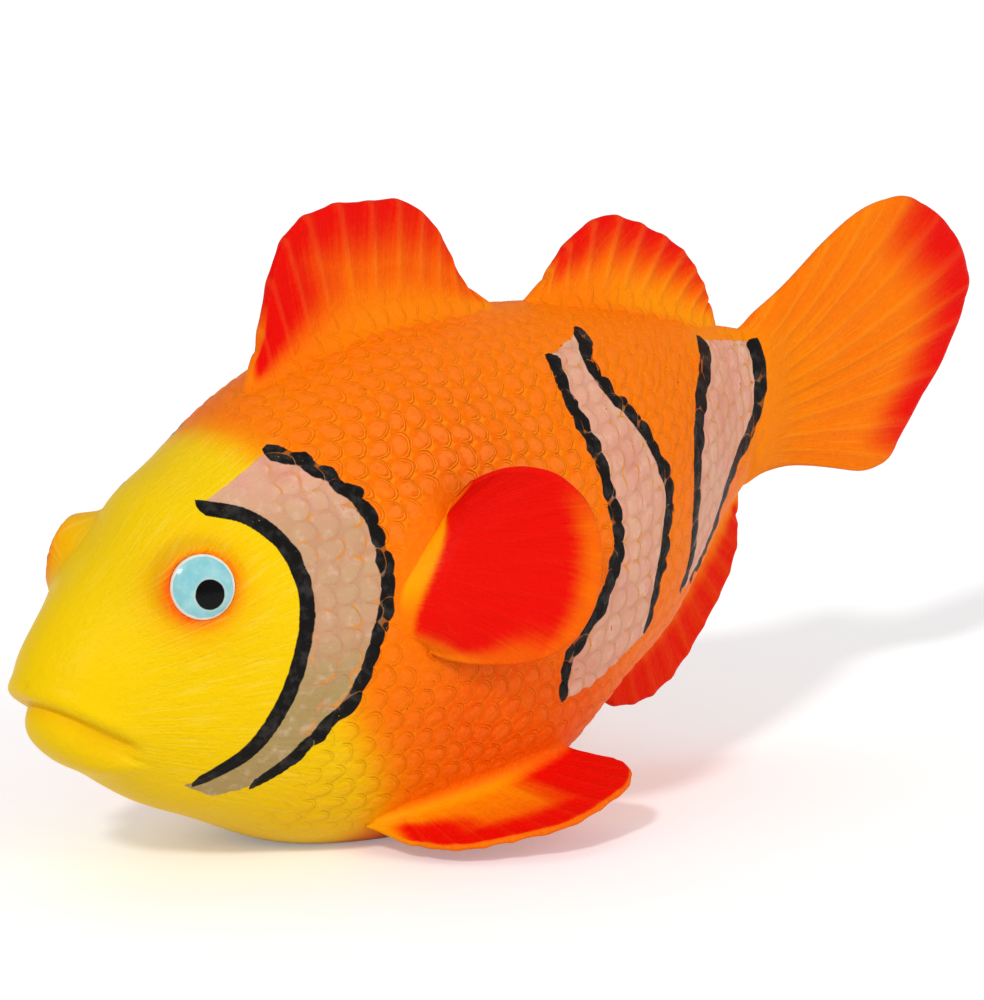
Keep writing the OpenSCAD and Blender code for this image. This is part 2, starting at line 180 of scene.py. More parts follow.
def ridge_z(x, y, below):
    """Height of the back or the belly at a distance from the middle plane."""
    middle = level(x, WIDEST)
    power = LOWER_POWER if below else UPPER_POWER
    edge = level(x, BELLY if below else BACK)
    t = np.clip(np.abs(y) / np.maximum(half_width(x), 1e-6), 0, 1)
    return middle + (edge - middle) * (1 - t ** power) ** (1 / power)


def mouth_line(x):
    return MOUTH_Z - (x - NOSE_X) * MOUTH_SLOPE


def ring(x, angle):
    """Points of the trunk at places and angles up from its right side, with eye mounds and the belly's rise."""
    up = np.sin(angle) >= 0
    power = np.where(up, UPPER_POWER, LOWER_POWER)
    middle = level(x, WIDEST)
    height = np.where(up, level(x, BACK) - middle, middle - level(x, BELLY))
    across = np.sign(np.cos(angle)) * np.abs(np.cos(angle)) ** (2 / power)
    z = middle + height * np.sign(np.sin(angle)) * np.abs(np.sin(angle)) ** (2 / power)
    rise = BELLY_RISE * bell(x - BELLY_RISE_X, BELLY_RISE_LENGTH)
    z = z + np.where(up, 0, rise * np.sin(angle) ** 2)
    spread = np.where(z > EYE[2], MOUND_SPREAD_UP, MOUND_SPREAD)
    mound = MOUND_HEIGHT * bell(x - EYE[0], MOUND_SPREAD) * bell(z - EYE[2], spread)
    swell = np.sign(across) * np.sqrt(np.abs(across)) * mound
    return np.stack([x + 0 * angle, half_width(x) * across + swell, z], axis=-1)


# ---- scales

# Distance of the rows, radius and shift of the scales, in shares of their spacing
ROW = 1.04
REACH = 0.6
SHEAR = 0.17
SPACING = 3.5
BEHIND = 9.0
RUN_START = NOSE_X + 20
RUN_STEPS, RUN_AROUND = 60, 40

# Waves that make the rows sway: size, rates along and round the body, and phase
SWAY_ALONG = [(0.16, 0.12, 0.31, 0.0), (0.10, 0.17, -0.40, 1.3), (0.06, 0.83, 1.10, 0.0)]
SWAY_ROUND = [(0.13, 0.23, 0.20, 0.0), (0.10, 0.41, 0.00, 2.0), (0.06, 0.95, -0.80, 1.9)]


# The sums that the scale pattern needs, for arrays. A shader's Graph below has the same ones.
ARRAYS = SimpleNamespace(
    floor=np.floor, ceil=np.ceil, sqrt=np.sqrt, maximum=np.maximum, step=smooth,
    fraction=lambda v: v - np.floor(v), less=lambda a, b: (a < b).astype(float))


def scale_place(p, q, ops):
    """Place on the foremost scale that covers a point, in shares of its radius, and whether one covers it."""
    row = ops.floor(q / ROW)
    found = []
    for lift in (0.0, 1.0):
        across = q - (row + lift) * ROW
        chord = ops.sqrt(ops.maximum(REACH ** 2 - across * across, 0.0))
        shift = ops.fraction((row + lift) * SHEAR)
        centre = ops.ceil(p - chord - shift) + shift
        covered = ops.less(centre - p, chord)
        found.append((centre + (1.0 - covered) * BEHIND, across, covered))
    (centre_a, across_a, covered_a), (centre_b, across_b, covered_b) = found
    first = ops.less(centre_a, centre_b)
    along = p - centre_a * first - centre_b * (1.0 - first)
    across = across_a * first + across_b * (1.0 - first)
    return along / REACH, across / REACH, ops.maximum(covered_a, covered_b)


def scale_form(p, q, ops):
    """Height of a scale, distance from its middle and place along it, all in shares."""
    along, across, covered = scale_place(p, q, ops)
    radius = ops.sqrt(along * along + across * across)
    rim = 1.0 - ops.step(radius, 0.5, 1.0)
    return covered * rim * (along * 0.5 + 0.5), radius * covered + (1.0 - covered), along * covered


def round_length(grid):
    """Distance over the skin from the widest line, for closed rows of points round the trunk."""
    count = grid.shape[1]
    quarter = count // 4
    step_round = np.linalg.norm(np.roll(grid, -1, axis=1) - grid, axis=-1)
    length = np.zeros(grid.shape[:2])
    length[:, 1:quarter + 1] = np.cumsum(step_round[:, :quarter], axis=1)
    length[:, -quarter:] = -np.cumsum(step_round[:, ::-1][:, :quarter], axis=1)[:, ::-1]
    left = np.arange(quarter + 1, count - quarter)
    length[:, left] = length[:, (count // 2 - left) % count]
    return length


def ridge_length(x, below):
    """Distance over the skin from the widest line to the back or the belly."""
    places = np.linspace(RUN_START, STALK_X, RUN_STEPS)
    quarter = np.linspace(0, -np.pi / 2 if below else np.pi / 2, RUN_AROUND)
    rows = ring(places[:, None], quarter[None, :])
    length = np.linalg.norm(np.diff(rows, axis=1), axis=-1).sum(axis=1)
    return np.interp(x, places, -length if below else length)


def sway(x, round_from):
    """Place on the scale pattern, whose rows sway a little."""
    def waves(table):
        return sum(size * np.sin(rate * x + turn * round_from + phase) for size, rate, turn, phase in table)
    return x / SPACING + waves(SWAY_ALONG), round_from / SPACING + waves(SWAY_ROUND)


# ---- paint, as fields over the surface

# Lines of the bands in the side view, from the back down
HEAD_FRONT = [(-74.5, 56.6), (-69.8, 55.7), (-66.5, 52.2), (-65.3, 47.3), (-65.2, 42.3), (-66.7, 35.2),
              (-68.9, 28.2), (-72.3, 21.4), (-76.9, 17.1), (-79.8, 15.6)]
HEAD_REAR = [(-62.8, 64.1), (-60.4, 63.5), (-57.0, 61.1), (-54.3, 57.9), (-52.8, 53.3), (-52.4, 47.6),
             (-52.9, 43.4), (-54.0, 39.4), (-55.7, 34.6), (-58.3, 28.2), (-62.2, 23.6), (-66.4, 18.4),
             (-70.3, 14.9), (-74.6, 13.1)]
MID_FRONT = [(-7.8, 72.6), (-9.0, 68.6), (-8.8, 63.3), (-7.7, 58.8), (-7.2, 53.9), (-6.8, 48.6),
             (-7.0, 45.2), (-7.9, 42.3), (-10.2, 38.6), (-12.4, 35.5), (-15.8, 32.2), (-18.6, 28.6),
             (-19.0, 24.5), (-18.3, 21.6)]
MID_REAR = [(2.6, 74.6), (-0.4, 70.6), (0.4, 66.5), (3.9, 62.4), (6.6, 57.6), (8.0, 53.4), (8.6, 49.4),
            (6.6, 44.1), (4.7, 39.0), (3.2, 33.8), (1.8, 28.4)]
MID_FOOT = [(-18.3, 21.6), (-13.0, 22.8), (-7.5, 25.0), (-2.4, 26.7), (1.8, 28.4)]
TAIL_FRONT = [(33.0, 68.6), (29.8, 65.4), (25.0, 61.6), (21.4, 57.0), (18.6, 50.6), (17.0, 42.8),
              (16.4, 37.0), (13.4, 32.6)]
TAIL_REAR = [(46.9, 66.2), (47.5, 63.0), (46.9, 58.4), (44.0, 53.0), (38.7, 49.2), (32.5, 44.4),
             (28.5, 39.9), (24.0, 36.0), (18.6, 33.4)]
LINE_STEPS, FOOT_STEPS, TOP_STEPS, END_STEPS = 70, 30, 20, 12
BAND_MARGIN = 6.0
LINE_THINNING = 0.3
LEAST_SIDE = 2.0
SIDE_WEIGHT = 0.8
END_REACH = 4.0
FAR = 20.0

# Patches of yellow and of deep orange on the body: amount, centre and radii in the side view
YELLOW_PATCHES = [(0.5, (-45, 38), (6, 13)), (0.42, (36, 68), (13, 8)), (0.22, (-18, 58), (14, 18)),
                  (0.25, (12, 40), (7, 20))]
DEEP_PATCHES = [(0.95, (-22, 17), (24, 13)), (0.45, (-36, 62), (17, 11)), (0.75, (-33, 26), (14, 9)),
                (0.5, (-12, 36), (7, 14)), (0.5, (-46, 36), (4, 5)), (0.35, (34, 52), (16, 9)),
                (0.3, (20, 24), (14, 10))]
HEAD_EDGE = -57.0


def strip(points, count):
    return curve(points, np.linspace(0, 1, count))


def nearest(x, y, z, line):
    """Distance of points to a line of the side view on the flank, and the nearest place's share along it."""
    sides = np.maximum(side_y(line[:, 0], line[:, 1]), LEAST_SIDE)
    best = np.full(x.shape, 1e9)
    share = np.zeros(x.shape)
    ay = np.abs(y)
    for i, ((lx, lz), ly) in enumerate(zip(line, sides)):
        far = (x - lx) ** 2 + (z - lz) ** 2 + SIDE_WEIGHT * (ay - ly) ** 2
        share = np.where(far < best, i / (len(line) - 1), share)
        best = np.minimum(best, far)
    return np.sqrt(best), share


def cut_ends(x, z, line, distance):
    """Distance to a line that stops square at its ends."""
    for end, inner in ((0, 3), (-1, -4)):
        way = unit((line[end] - line[inner])[None])[0]
        beyond = (x - line[end][0]) * way[0] + (z - line[end][1]) * way[1]
        distance = distance + np.where(distance < END_REACH, END_REACH * np.clip(beyond, 0, 1), 0)
    return distance


def inside(x, z, outline):
    """Whether points of the side view lie in a closed outline."""
    result = np.zeros(x.shape, bool)
    for (ax, az), (bx, bz) in zip(outline, np.roll(outline, -1, axis=0)):
        crosses = (az > z) != (bz > z)
        at = ax + (z - az) * (bx - ax) / (bz - az if bz != az else 1e-9)
        result ^= crosses & (x < at)
    return result


def band(front, rear, foot, weight):
    """A band's two lines, its outline, its open ends and the weight of its lines."""
    a, b = strip(front, LINE_STEPS), strip(rear, LINE_STEPS)
    closing = strip(foot, FOOT_STEPS) if foot else np.zeros((0, 2))
    outline = np.concatenate([a, closing, b[::-1]])
    ends = [np.linspace(a[0], b[0], TOP_STEPS), closing if foot else np.linspace(a[-1], b[-1], END_STEPS)]
    return a, b, outline, ends, weight


BANDS = [band(HEAD_FRONT, HEAD_REAR, [], 1.0), band(MID_FRONT, MID_REAR, MID_FOOT, 1.15),
         band(TAIL_FRONT, TAIL_REAR, [], 1.3)]


def stripes(co):
    """Depth inside the pale bands, distance from their dark lines and the lines' width there."""
    x, y, z = co[:, 0], co[:, 1], co[:, 2]
    depth = np.full(len(co), -FAR)
    line = np.full(len(co), FAR)
    width = np.ones(len(co))
    for a, b, outline, ends, weight in BANDS:
        low, high = outline.min(0) - BAND_MARGIN, outline.max(0) + BAND_MARGIN
        near = np.flatnonzero((x > low[0]) & (x < high[0]) & (z > low[1]) & (z < high[1]))
        nx, ny, nz = x[near], y[near], z[near]
        (to_a, share_a), (to_b, share_b) = nearest(nx, ny, nz, a), nearest(nx, ny, nz, b)
        edge = np.minimum(to_a, to_b)
        for end in ends:
            edge = np.minimum(edge, nearest(nx, ny, nz, end)[0])
        sign = np.where(inside(nx, nz, outline), 1.0, -1.0)
        depth[near] = np.maximum(depth[near], sign * edge)
        share = np.where(to_a < to_b, share_a, share_b)
        to_line = np.minimum(cut_ends(nx, nz, a, to_a), cut_ends(nx, nz, b, to_b))
        closer = to_line < line[near]
        thinned = weight * (1 - LINE_THINNING * smooth(share, 0.75, 1.0))
        width[near] = np.where(closer, thinned, width[near])
        line[near] = np.where(closer, to_line, line[near])
    return depth, line, width


def body_paint(co):
    """Amounts of yellow and deep orange over the body, and of the orange ring round the eyes."""
    x, y, z = co[:, 0], co[:, 1], co[:, 2]
    back = level(np.clip(x, NOSE_X, STALK_X), BACK)
    edge = HEAD_EDGE + 12.5 * smooth(z, 34, 6) - 9.0 * smooth(z, 56, 74)
    head = 1 - smooth(x, edge - 13, edge + 9)
    along_back = 0.22 * smooth(back - z, 12, 2)
    yellow = most(head, along_back, *patches(x, z, YELLOW_PATCHES))
    deep = sum(patches(x, z, DEEP_PATCHES))
    to_eye = np.sqrt((x - EYE[0]) ** 2 + (np.abs(y) - EYE[1]) ** 2 + (z - EYE[2]) ** 2)
    turn = np.arctan2(z - EYE[2], x - EYE[0])
    lean = 0.72 + 0.28 * np.cos(turn - 2.6)
    halo = lean * (1.1 * bell(to_eye - 4.9, 1.5) + 0.42 * bell(to_eye - 5.5, 3.8))
    return np.clip(yellow, 0, 1), np.clip(deep, 0, 1), np.clip(halo, 0, 1)


# ---- meshes

def add_mesh(name, points, faces, fields):
    """Mesh object from points in millimetres, with named vector fields of three columns or constants."""
    mesh = bpy.data.meshes.new(name)
    mesh.from_pydata((points * MM).tolist(), [], faces)
    for field, columns in fields.items():
        layer = mesh.attributes.new(field, "FLOAT_VECTOR", "POINT")
        data = np.stack([np.broadcast_to(c, len(points)) for c in columns], axis=1)
        layer.data.foreach_set("vector", data.astype(np.float32).ravel())
    mesh.polygons.foreach_set("use_smooth", np.ones(len(mesh.polygons), bool))
    mesh.update()
    obj = bpy.data.objects.new(name, mesh)
    bpy.context.scene.collection.objects.link(obj)
    return obj


def loft_faces(rows, count, first_tip=None, last_tip=None):
    """Quads round closed rows of points, with fans to a tip at each end."""
    faces = []
    for i in range(rows - 1):
        for j in range(count):
            k = (j + 1) % count
            faces.append((i * count + j, i * count + k, (i + 1) * count + k, (i + 1) * count + j))
    last = (rows - 1) * count
    for j in range(count):
        k = (j + 1) % count
        if first_tip is not None:
            faces.append((k, j, first_tip))
        if last_tip is not None:
            faces.append((last + j, last + k, last_tip))
    return faces


def signed_volume(points, faces):
    corners = [(f[0], f[i], f[i + 1]) for f in faces for i in range(1, len(f) - 1)]
    a, b, c = points[np.array(corners)].transpose(1, 0, 2)
    return (a * np.cross(b, c)).sum() / 6


def add_closed_mesh(name, points, faces, fields):
    """Mesh object whose faces are turned outwards."""
    obj = add_mesh(name, points, faces, fields)
    if signed_volume(points, faces) < 0:
        obj.data.flip_normals()
    return obj


def grid_normals(grid):
    """Outward normals of a grid of closed rows."""
    along = np.gradient(grid, axis=0)
    around = np.roll(grid, -1, axis=1) - np.roll(grid, 1, axis=1)
    return unit(np.cross(around, along))


# Roots of the paired fins in the side view
PECTORAL_ROOT = [(-46.2, 34.6), (-48.0, 38.4), (-48.4, 43.0), (-47.6, 46.4), (-45.0, 49.6), (-42.4, 52.4),
                 (-40.0, 54.6)]
PELVIC_ROOT = [(-44.55, 5.5), (-14.55, 11.5)]
ROOT_STEPS = 24


def root_distance(x, z):
    """Distance from the paired fins' roots in the side view."""
    best = np.full(np.broadcast(x, z).shape, 1e9)
    for root in (PECTORAL_ROOT, PELVIC_ROOT):
        for rx, rz in strip(root, ROOT_STEPS):
            best = np.minimum(best, (x - rx) ** 2 + (z - rz) ** 2)
    return np.sqrt(best)


HEAD_ROWS = 84
BODY_ROWS = 192
AROUND = 344
HEAD_END = -62.0
FIRST_KEY = 0.012
SCALE_RELIEF = 0.5
BULGES = [(1.0, (-77, 56.5), (7, 5)), (0.4, (-92, 17), (8, 7)), (1.0, (-82, 8), (8, 7))]
FAN_RADIUS = 26.0
LIP_LENGTH = 11.0
MOUTH_LENGTH = 13.0
UPPER_LIP = 0.75
LOWER_LIP = 1.25
SLOT_DEPTH = 1.65
CREASE_DEPTH = 0.35
LIP_SETBACK = 0.3
BELLY_END = 30.0
RECESS_Z = 1.65
RECESS_SNAP = 0.36
RECESS_GAP = 0.03
UNDERSIDE = 2.0
EYE_REGION = 8
LID_RADIUS = 5.3
SEAT_DEPTH = 0.9


def trunk_grid():
    """Points of the plain trunk, whose rows lie closer on the head, and their angles."""
    head_key = math.sqrt((HEAD_END - NOSE_X) / TRUNK)
    head = NOSE_X + TRUNK * np.linspace(FIRST_KEY, head_key, HEAD_ROWS) ** 2
    body = np.linspace(HEAD_END, STALK_X, BODY_ROWS + 1)[1:]
    x = np.concatenate([head, body])[:, None]
    angle = np.linspace(0, 2 * np.pi, AROUND, endpoint=False)[None, :]
    return ring(x, angle), angle


def scale_amount(x, z, bands):
    """How strongly the scales show: not on the head or at the fins' roots, and less in the bands."""
    amount = smooth(x, -70, -58) * (1 - 0.5 * smooth(x, 20, 40)) * smooth(z, 1.5, 8)
    amount *= 0.7 + 0.3 * smooth(level(x, BACK) - z, 2, 10)
    amount *= 0.72 + 0.28 * blob(x, z, (-30, 58), (26, 18))
    amount *= smooth(root_distance(x, z), 1.5, 6.0)
    return amount * (1 - 0.35 * smooth(bands, -0.3, 0.8))


def mouth_form(x, z):
    """Relief of the lips, the slot between them and its depth in shares, and the lower lip's setback."""
    across = (z - mouth_line(x)) * MOUTH_COSINE
    into = x - NOSE_X
    lips = np.exp(-(into / LIP_LENGTH) ** 4)
    hollow = 0.9 + 2.3 * np.sin(np.pi * np.clip(into / MOUTH_LENGTH, 0, 1)) ** 0.8
    relief = lips * UPPER_LIP * bell(across - 1.5, 1.4)
    relief += lips * LOWER_LIP * bell(across + hollow + 1.3, 1.8)
    below = across + 0.9
    slot = np.where(below > 0, bell(below, 0.95), bell(below, 0.7 * hollow))
    slot = (1 - smooth(into, 9.5, 13.5)) * slot
    relief -= SLOT_DEPTH * slot
    crease = mouth_line(x) - 2.3 + 0.25 * (into - 11.5)
    relief -= CREASE_DEPTH * bell(z - crease, 0.4) * bell(into - 12.2, 1.7)
    return relief, slot, LIP_SETBACK * bell(into, 6.0) * smooth(across, 0.2, -0.9)


def seat_eyes(grid):
    """Raises the lids round the eyes' buttons and sinks a shallow seat under each."""
    for side in (1, -1):
        centre, out = EYE * [1, side, 1], EYE_OUT * [1, side, 1]
        offset = grid - centre
        rise = offset @ out
        radial = np.linalg.norm(offset - rise[..., None] * out, axis=-1)
        near = np.abs(rise) < EYE_REGION
        forward = smooth(offset[..., 0], 2.0, -4.5)
        lid = 0.05 + 0.25 * forward - 0.25 * np.maximum(radial - LID_RADIUS, 0) ** 2
        lift = 0.5 * (lid - rise + np.sqrt((lid - rise) ** 2 + 0.3)) * near * smooth(radial, 8.0, 5.6)
        grid += out * lift[..., None]
        rise = rise + lift
        seat = smooth(radial, EYE_RADIUS + 0.45, EYE_RADIUS - 0.25) * near
        grid -= out * (seat * np.maximum(rise + SEAT_DEPTH, 0))[..., None]


def flatten_belly(grid, x):
    """Flattens the belly with a soft edge and sinks the recess for the plug."""
    bottom = grid[..., 2]
    grid[..., 2] = np.where(x < BELLY_END, 0.5 * (bottom + np.sqrt(bottom ** 2 + 0.16)), bottom)
    rx, ry = grid[..., 0] - PLUG_X, grid[..., 1]
    radius = np.hypot(rx, ry)
    under = grid[..., 2] < UNDERSIDE
    snap = under & (np.abs(radius - PLUG_RECESS) < RECESS_SNAP)
    target = PLUG_RECESS + np.where(radius < PLUG_RECESS, -RECESS_GAP, RECESS_GAP)
    stretch = np.where(snap, target / np.maximum(radius, 1e-6), 1)
    grid[..., 0] = PLUG_X + rx * stretch
    grid[..., 1] = ry * stretch
    grid[..., 2] = np.where(under & (radius < PLUG_RECESS), RECESS_Z, grid[..., 2])


def make_trunk():
    """The skin: the trunk's sections with scales, lips, lids and a flat belly."""
    plain, angle = trunk_grid()
    x, z = plain[..., 0], plain[..., 2]
    tips = np.array([[end, 0, level(end, WIDEST)] for end in (NOSE_X, STALK_X)])
    rest = np.concatenate([plain.reshape(-1, 3), tips])
    depth, line, width = stripes(rest)
    amount = scale_amount(x, z, depth[:-2].reshape(x.shape))
    p, q = sway(x, round_length(plain))
    _, radius, run = scale_form(p, q, ARRAYS)
    relief = SCALE_RELIEF * amount * (smooth(radius, 1.0, 0.4) * (0.7 + 0.3 * run) - 0.3)
    relief += sum(patches(x, z, BULGES))
    mouth, slot, setback = mouth_form(x, z)
    grid = plain + grid_normals(plain) * (relief + mouth)[..., None]
    grid[..., 0] += setback
    seat_eyes(grid)
    flatten_belly(grid, x)

    def tipped(values):
        return np.concatenate([np.broadcast_to(values, x.shape).ravel(), np.zeros(2)])

    points = np.concatenate([grid.reshape(-1, 3), tips])
    fan = FAN_RADIUS * np.abs(np.angle(np.exp(1j * (angle - np.pi / 2))))
    vivid = 0.36 + 0.64 * blob(x, z, (-33, 57), (26, 19))
    tan = (1 - smooth(x, -56, -48)) * np.maximum(smooth(z, 49, 27), 0.5 * smooth(z, 62, 52))
    streaky = (1 - smooth(x, -66, -52)) * smooth(x - NOSE_X, 3, 16)
    fields = {
        "scales": (tipped(p), tipped(q), tipped(amount)),
        "paint": body_paint(rest),
        "stripes": (depth, line, width),
        "flow": (tipped(x), tipped(fan), tipped(streaky)),
        # The mouth's slot gets a darker gold: painted shade in the hollow between the lips
        "fin": (0.0, tipped(0.25 * slot), 0.0),
        "extra": (tipped(tan), 0.0, tipped(vivid)),
    }
    faces = loft_faces(len(grid), AROUND, len(points) - 2, len(points) - 1)
    return add_mesh("skin", points, [f[::-1] for f in faces], fields)


# ---- fins

# Outlines of the fins, in shares of their length and height
FRONT_DORSAL = [(0.015, 0.20), (0.07, 0.54), (0.15, 0.88), (0.25, 1.05), (0.40, 1.09), (0.55, 1.03),
                (0.68, 0.97), (0.78, 0.81), (0.845, 0.60), (0.885, 0.36), (0.92, 0.17)]
REAR_DORSAL = [(0.06, 0.22), (0.10, 0.46), (0.20, 0.76), (0.335, 0.97), (0.48, 0.97), (0.62, 0.90),
               (0.76, 0.79), (0.86, 0.65), (0.935, 0.475), (0.99, 0.33), (1.01, 0.21)]
ANAL = [(0.01, 0.26), (0.00, 0.50), (0.07, 0.74), (0.17, 0.92), (0.30, 1.00), (0.44, 0.97),
        (0.58, 0.89), (0.72, 0.79), (0.84, 0.66), (0.94, 0.46), (0.99, 0.24)]
TAIL = [(0.11, -0.72), (0.22, -0.705), (0.355, -0.87), (0.48, -1.02), (0.595, -1.03), (0.665, -0.94),
        (0.725, -0.74), (0.82, -0.47), (0.91, -0.19), (0.97, 0.09), (0.998, 0.27), (0.99, 0.44), (0.93, 0.71),
        (0.845, 0.89), (0.735, 1.03), (0.625, 1.045), (0.49, 0.955), (0.36, 0.775), (0.185, 0.49), (0.06, 0.33)]
PECTORAL = [(-0.06, -0.90), (0.10, -1.02), (0.37, -1.09), (0.61, -1.06), (0.82, -0.86), (0.95, -0.47),
            (0.99, 0.07), (0.95, 0.47), (0.85, 0.79), (0.67, 1.04), (0.43, 1.10), (0.22, 0.98)]
PELVIC = [(-0.02, 0.32), (0.03, 0.59), (0.12, 0.80), (0.24, 0.92), (0.375, 1.03), (0.55, 1.13),
          (0.73, 1.08), (0.88, 0.97), (1.01, 0.86), (1.10, 0.70), (1.165, 0.50), (1.18, 0.28)]
PECTORAL_X = NOSE_X + 0.37 * TRUNK
PECTORAL_Z = 46.5
PECTORAL_ROOT_HEIGHT = 18.0
PECTORAL_LEAN = 5.0
PECTORAL_DROP = 3.0
PECTORAL_SPREAD = 28.0
PECTORAL_LENGTH = 27.0
PECTORAL_HALF_HEIGHT = 15.0
PECTORAL_RAYS = 12
PELVIC_LENGTH = 15.0
PELVIC_DROOP = 6.2
PELVIC_RAYS = 11
RIM = 1.0
ROOT_HALF = 2.0
ROOT_LIFT = 2.0
SCALLOP = 0.45
RIB_RELIEF = 0.19
SKIRT_SINK, FILLET_SINK, ROOT_SINK = 0.45, 0.06, 1.2
FAIRING_HEIGHT = 0.3
SLOPE_STEP = 0.5
FIN_COLUMNS = 16
FILLET_STEPS = 12
FACE_STEPS = 26
FAIRING = 7
FIN_VIVID = 0.3


def ridge_feet(first_x, length, shares, below):
    """Feet of a fin along the back or the belly, with the directions out of the skin."""
    x = first_x + length * shares
    edge = BELLY if below else BACK
    z = level(x, edge)
    slope = (level(x + SLOPE_STEP, edge) - level(x - SLOPE_STEP, edge)) / (2 * SLOPE_STEP)
    out = unit(np.stack([-slope, 0 * x, 1 + 0 * x], axis=1)) * (-1 if below else 1)
    return np.stack([x, 0 * x, z], axis=1), out


def side_feet(x, z):
    """Feet of a fin on the right flank, with the directions out of the skin."""
    y = side_y(x, z)
    out = unit(np.stack([
        side_y(x - SLOPE_STEP, z) - side_y(x + SLOPE_STEP, z),
        np.full_like(x, 2 * SLOPE_STEP),
        side_y(x, z - SLOPE_STEP) - side_y(x, z + SLOPE_STEP),
    ], axis=1))
    return np.stack([x, y, z], axis=1), out


def flank_root(root):
    """Feet of a fin along a root on the right flank."""
    return lambda share: side_feet(*curve(root, share).T)


def on_ridge(below):
    """Puts points on the back or the belly."""
    def settle(points):
        result = points.copy()
        result[:, 2] = ridge_z(points[:, 0], points[:, 1], below)
        return result
    return settle


def on_side(points):
    """Puts points on the right flank."""
    result = points.copy()
    result[:, 1] = side_y(points[:, 0], points[:, 2])
    return result


def ray_form(share, rays):
    """Relief of the rays across a fin, from -1 to 1."""
    return 2 * (0.5 - 0.5 * np.cos(2 * np.pi * rays * share)) ** 2 - 1


def fin_ribs(share, feet, out, tips, rays, settle, scallop, fairing):
    """A fin's ribs along its root, and more at both ends that carry the fin down to the skin."""
    ray = ray_form(share, rays)
    length = np.linalg.norm(tips - feet, axis=1)
    uneven = 0.6 + 0.4 * np.sin(9.0 * share + rays)
    middle = {
        "feet": feet, "out": out, "way": unit(tips - feet), "ray": ray, "share": share,
        "length": length + (ray - 1) / 2 * scallop * uneven,
        "slim": np.minimum(0.35 + 0.65 * length / 7.0, 1), "fade": np.ones(len(share)),
    }
    fade = np.linspace(0, 1, FAIRING + 1)[:-1]
    parts = []
    for end, inner, order, carry in ((0, 3, fade, fairing[0]), (-1, -4, fade[::-1], fairing[1])):
        last = SimpleNamespace(**{key: values[end] for key, values in middle.items()})
        lead = unit((last.feet - feet[inner])[None])[0]
        parts.append({
            "feet": settle(last.feet + lead * (carry * (1 - order))[:, None]),
            "out": np.repeat(last.out[None], FAIRING, 0), "way": np.repeat(last.way[None], FAIRING, 0),
            "length": FAIRING_HEIGHT + (last.length - FAIRING_HEIGHT) * np.sin(order * np.pi / 2) ** 1.5,
            "slim": last.slim * (0.12 + 0.88 * np.sqrt(order)), "ray": 0 * order,
            "share": np.full(FAIRING, last.share), "fade": order,
        })
    return SimpleNamespace(**{k: np.concatenate([parts[0][k], middle[k], parts[1][k]]) for k in middle})


def fin_lanes(rib, side, settle, skirt, fillet, rim_half, ribs):
    """Lanes along a fin, up one face from its skirt, over the rim and down the other, and their heights."""
    root_half, rim = ROOT_HALF * rib.slim, rim_half * rib.slim
    taper = 0.35 + 0.65 * np.sin(np.pi * np.clip(rib.share, 0.001, 0.999)) ** 0.6 * np.sqrt(rib.fade)
    start = np.minimum(fillet * np.sqrt(rib.slim), 0.5 * rib.length)
    stop = np.maximum(rib.length - rim, start + 0.05)

    def half_at(h):
        v = np.clip(h / np.maximum(rib.length, 1e-6), 0, 1)
        plain = root_half + (rim - root_half) * v * (2 - v)
        return plain + RIB_RELIEF * ribs * rib.slim * rib.ray * smooth(v, 0.15, 0.5)

    columns, heights = [], []
    for sign, reach in ((1, skirt[0]), (-1, skirt[1])):
        lean = side * sign
        tangent = unit(lean[None] - rib.out * (rib.out @ lean)[:, None])
        flare = reach * rib.slim * taper

        def on_face(h, half):
            return rib.feet + rib.way * h[:, None] + lean * half[:, None]

        def on_skin(away, sunk):
            return settle(rib.feet + tangent * away[:, None]) - rib.out * sunk

        low, corner = on_skin(root_half + 0.75 * flare, FILLET_SINK), on_skin(0.75 * root_half, 0.0)
        top = on_face(start, half_at(start))
        lane = [(on_skin(root_half + flare, SKIRT_SINK), 0 * start)]
        for t in np.linspace(0, 1, FILLET_STEPS):
            lane.append(((1 - t) ** 2 * low + 2 * t * (1 - t) * corner + t * t * top, start * t * t))
        for t in np.linspace(0, 1, FACE_STEPS)[1:]:
            h = start + (stop - start) * t
            lane.append((on_face(h, half_at(h)), h))
        for turn in (30, 60):
            a = math.radians(turn)
            h = stop + rim * math.sin(a)
            lane.append((on_face(h, half_at(stop) * math.cos(a)), h))
        if sign < 0:
            lane = lane[::-1]
        else:
            lane.append((on_face(stop + rim, 0 * rim), stop + rim))
        columns += [c for c, _ in lane]
        heights += [h for _, h in lane]
    columns.append(rib.feet - rib.out * ROOT_SINK)
    heights.append(0 * start)
    v = np.stack(heights, axis=1) / np.maximum(rib.length, 1e-6)[:, None]
    return np.stack(columns, axis=1), np.clip(v, 0, 1)


def fin_fields(points, v, red, gold, scales, flow, ray):
    """Fields of a fin whose points are a grid with heights v in shares, and then its tips."""
    def tipped(values):
        return np.concatenate([np.broadcast_to(values, v.shape).ravel(), np.zeros(len(points) - v.size)])

    yellow, deep, _ = body_paint(points)
    return {
        "scales": [tipped(values) for values in scales],
        "paint": (yellow, deep, 0.0),
        "stripes": stripes(points),
        "flow": [tipped(values) for values in flow],
        "fin": (tipped(red), tipped(gold), 0.0),
        "extra": (0.0, tipped(0.5 + ray * smooth(v, 0.1, 0.4)), FIN_VIVID),
    }


